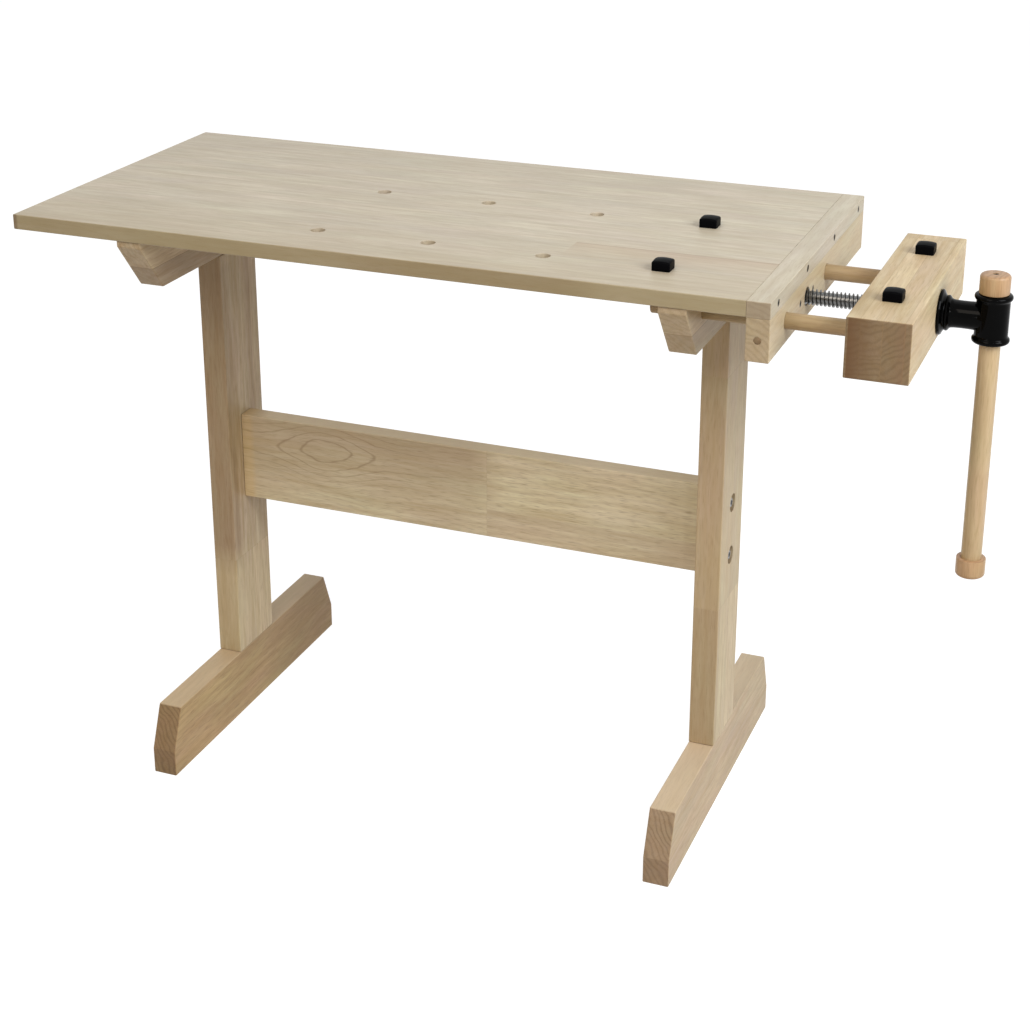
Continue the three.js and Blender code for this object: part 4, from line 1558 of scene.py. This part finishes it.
@dataclass
class Studio:
    """A white floor and backdrop, soft lamps, and the camera at the photograph's viewpoint.

    The angles are in degrees, and the floor's reach is in metres.
    """

    camera_at: Place = (887.3, -2313.3, 1500.0)
    yaw: float = 21.488
    pitch: float = 20.223
    focal_pixels: float = 1960.8
    frame_pixels: float = 1030.0
    sensor: float = 36.0
    shift_y: float = -0.14
    floor_reach: float = 14.0
    floor_glow: float = 0.91
    paper: str = "#bcb1a4"
    shadow: str = "#959595"
    white: str = "#ffffff"
    sky_light: float = 0.33
    lamps: tuple[Lamp, ...] = (
        Lamp("key_lamp", (2738, -997, 2351), (0, 0, 600), 1.6, 77.0, "#f6faff"),
        Lamp("high_lamp", (-300, -2263, 2763), (0, 0, 500), 1.4, 29.0, "#fff2e2"),
        Lamp("back_lamp", (-200, 1400, 2900), (-100, 100, 800), 2.0, 7.0, "#f6faff"),
        Lamp("glint_lamp", (-300, -3000, 1000), (300, 0, 700), 0.35, 3.0, "#ffffff"),
        Lamp("spark_lamp", (1900, -2300, 2000), (500, 0, 750), 0.14, 6.0, "#ffffff"))

    def build(self) -> None:
        """Sets up the whole studio."""
        self.camera()
        self.floor()
        self.world()
        for lamp in self.lamps:
            lamp.build()
        bpy.context.scene.view_settings.view_transform = "Standard"

    def camera(self) -> None:
        """The camera, turned left by the yaw and down by the pitch."""
        data = bpy.data.cameras.new("camera")
        data.sensor_fit = "HORIZONTAL"
        data.sensor_width = self.sensor
        data.lens = self.focal_pixels / self.frame_pixels * self.sensor
        data.shift_y = self.shift_y
        camera = stand("camera", data)
        camera.location = point(*self.camera_at)
        camera.rotation_euler = (math.radians(90 - self.pitch), 0.0, math.radians(self.yaw))
        bpy.context.scene.camera = camera

    @staticmethod
    def seen(tree: NodeTree) -> NodeSocket:
        """Picks the rays that reach the camera straight, mirrored or through glass.

        Args:
            tree: the node tree of the floor or of the world.

        Returns:
            One for those rays and zero for the rest.
        """
        rays = add(tree, "LightPath")
        share = rays.outputs["Is Camera Ray"]
        for kind in ("Is Glossy Ray", "Is Transmission Ray"):
            share = add(tree, "Math", {0: share, 1: rays.outputs[kind]}, operation="MAXIMUM").outputs[0]
        return share

    def floor(self) -> None:
        """A pale floor that looks white to the camera and keeps a soft shadow."""
        form = Form()
        bmesh.ops.create_grid(form.bm, x_segments=4, y_segments=4, size=self.floor_reach)
        floor = stand("floor", form.mesh("floor"))
        material = bpy.data.materials.new("white_paper_floor")
        tree = cleared(material)
        paper = add(tree, "BsdfDiffuse", {"Color": linear(self.paper)})
        shadow = add(tree, "BsdfDiffuse", {"Color": linear(self.shadow)})
        glow = add(tree, "Emission", {"Color": linear(self.white), "Strength": self.floor_glow})
        white = add(tree, "AddShader", {0: shadow, 1: glow})
        mix = add(tree, "MixShader", {0: self.seen(tree), 1: paper, 2: white})
        add(tree, "OutputMaterial", {"Surface": mix})
        floor.data.materials.append(material)

    def world(self) -> None:
        """A white backdrop for the camera and for reflections, and a plain sky light for the rest."""
        world = bpy.data.worlds.new("studio")
        tree = cleared(world)
        strength = add(tree, "MapRange", {"Value": self.seen(tree), "To Min": self.sky_light, "To Max": 1.0})
        sky = add(tree, "Background", {"Color": linear(self.white), "Strength": strength})
        add(tree, "OutputWorld", {"Surface": sky})
        bpy.context.scene.world = world


def hidden_joinery() -> None:
    """Dresses the dowels and screws that sit out of sight inside the frame."""
    wood = Rubberwood("rubberwood_dowels", TURNED_TONE, Axis.Z, Axis.Y, Vector(), seed=81).material()
    steel = DARK_STEEL.material()
    for side in Side:
        dress(wood, *(f"{side.word}_{joint}_dowel_{n}" for joint in ("foot", "bearer") for n in (1, 2)))
        dress(steel, *(f"top_screw_{side.word}_{place}" for place in ("front", "rear")))


def main() -> None:
    """Builds the bench and its studio in order."""
    logging.basicConfig(level=logging.INFO, format="%(name)s: %(message)s")
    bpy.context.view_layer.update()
    Studio().build()
    BenchTop().build()
    LegFrame(Side.LEFT, DARK_FOOT_TONE, (FOOT_BACK_SHADE, FOOT_TOP_PAINTED_LIGHT), DARK_POST_TONE, LEFT_POST_STAINS_AND_SHADE, seed=100,
             post_joint=150.0, post_stave=600.0, layer_contrast=0.45).build()
    LegFrame(Side.RIGHT, FOOT_TONE, (FOOT_TOP_PAINTED_LIGHT,), POST_TONE, RIGHT_POST_STAINS, seed=200,
             post_joint=205.0, post_stave=329.0, layer_contrast=0.2).build()
    Stretcher().build()
    EndVise().build()
    Handle().build()
    nylon = NYLON.material()
    for node in ("bench_dog_front", "bench_dog_rear", "jaw_dog_front", "jaw_dog_rear"):
        BenchDog(node).build(nylon)
    hidden_joinery()


if __name__ == "__main__":
    main()
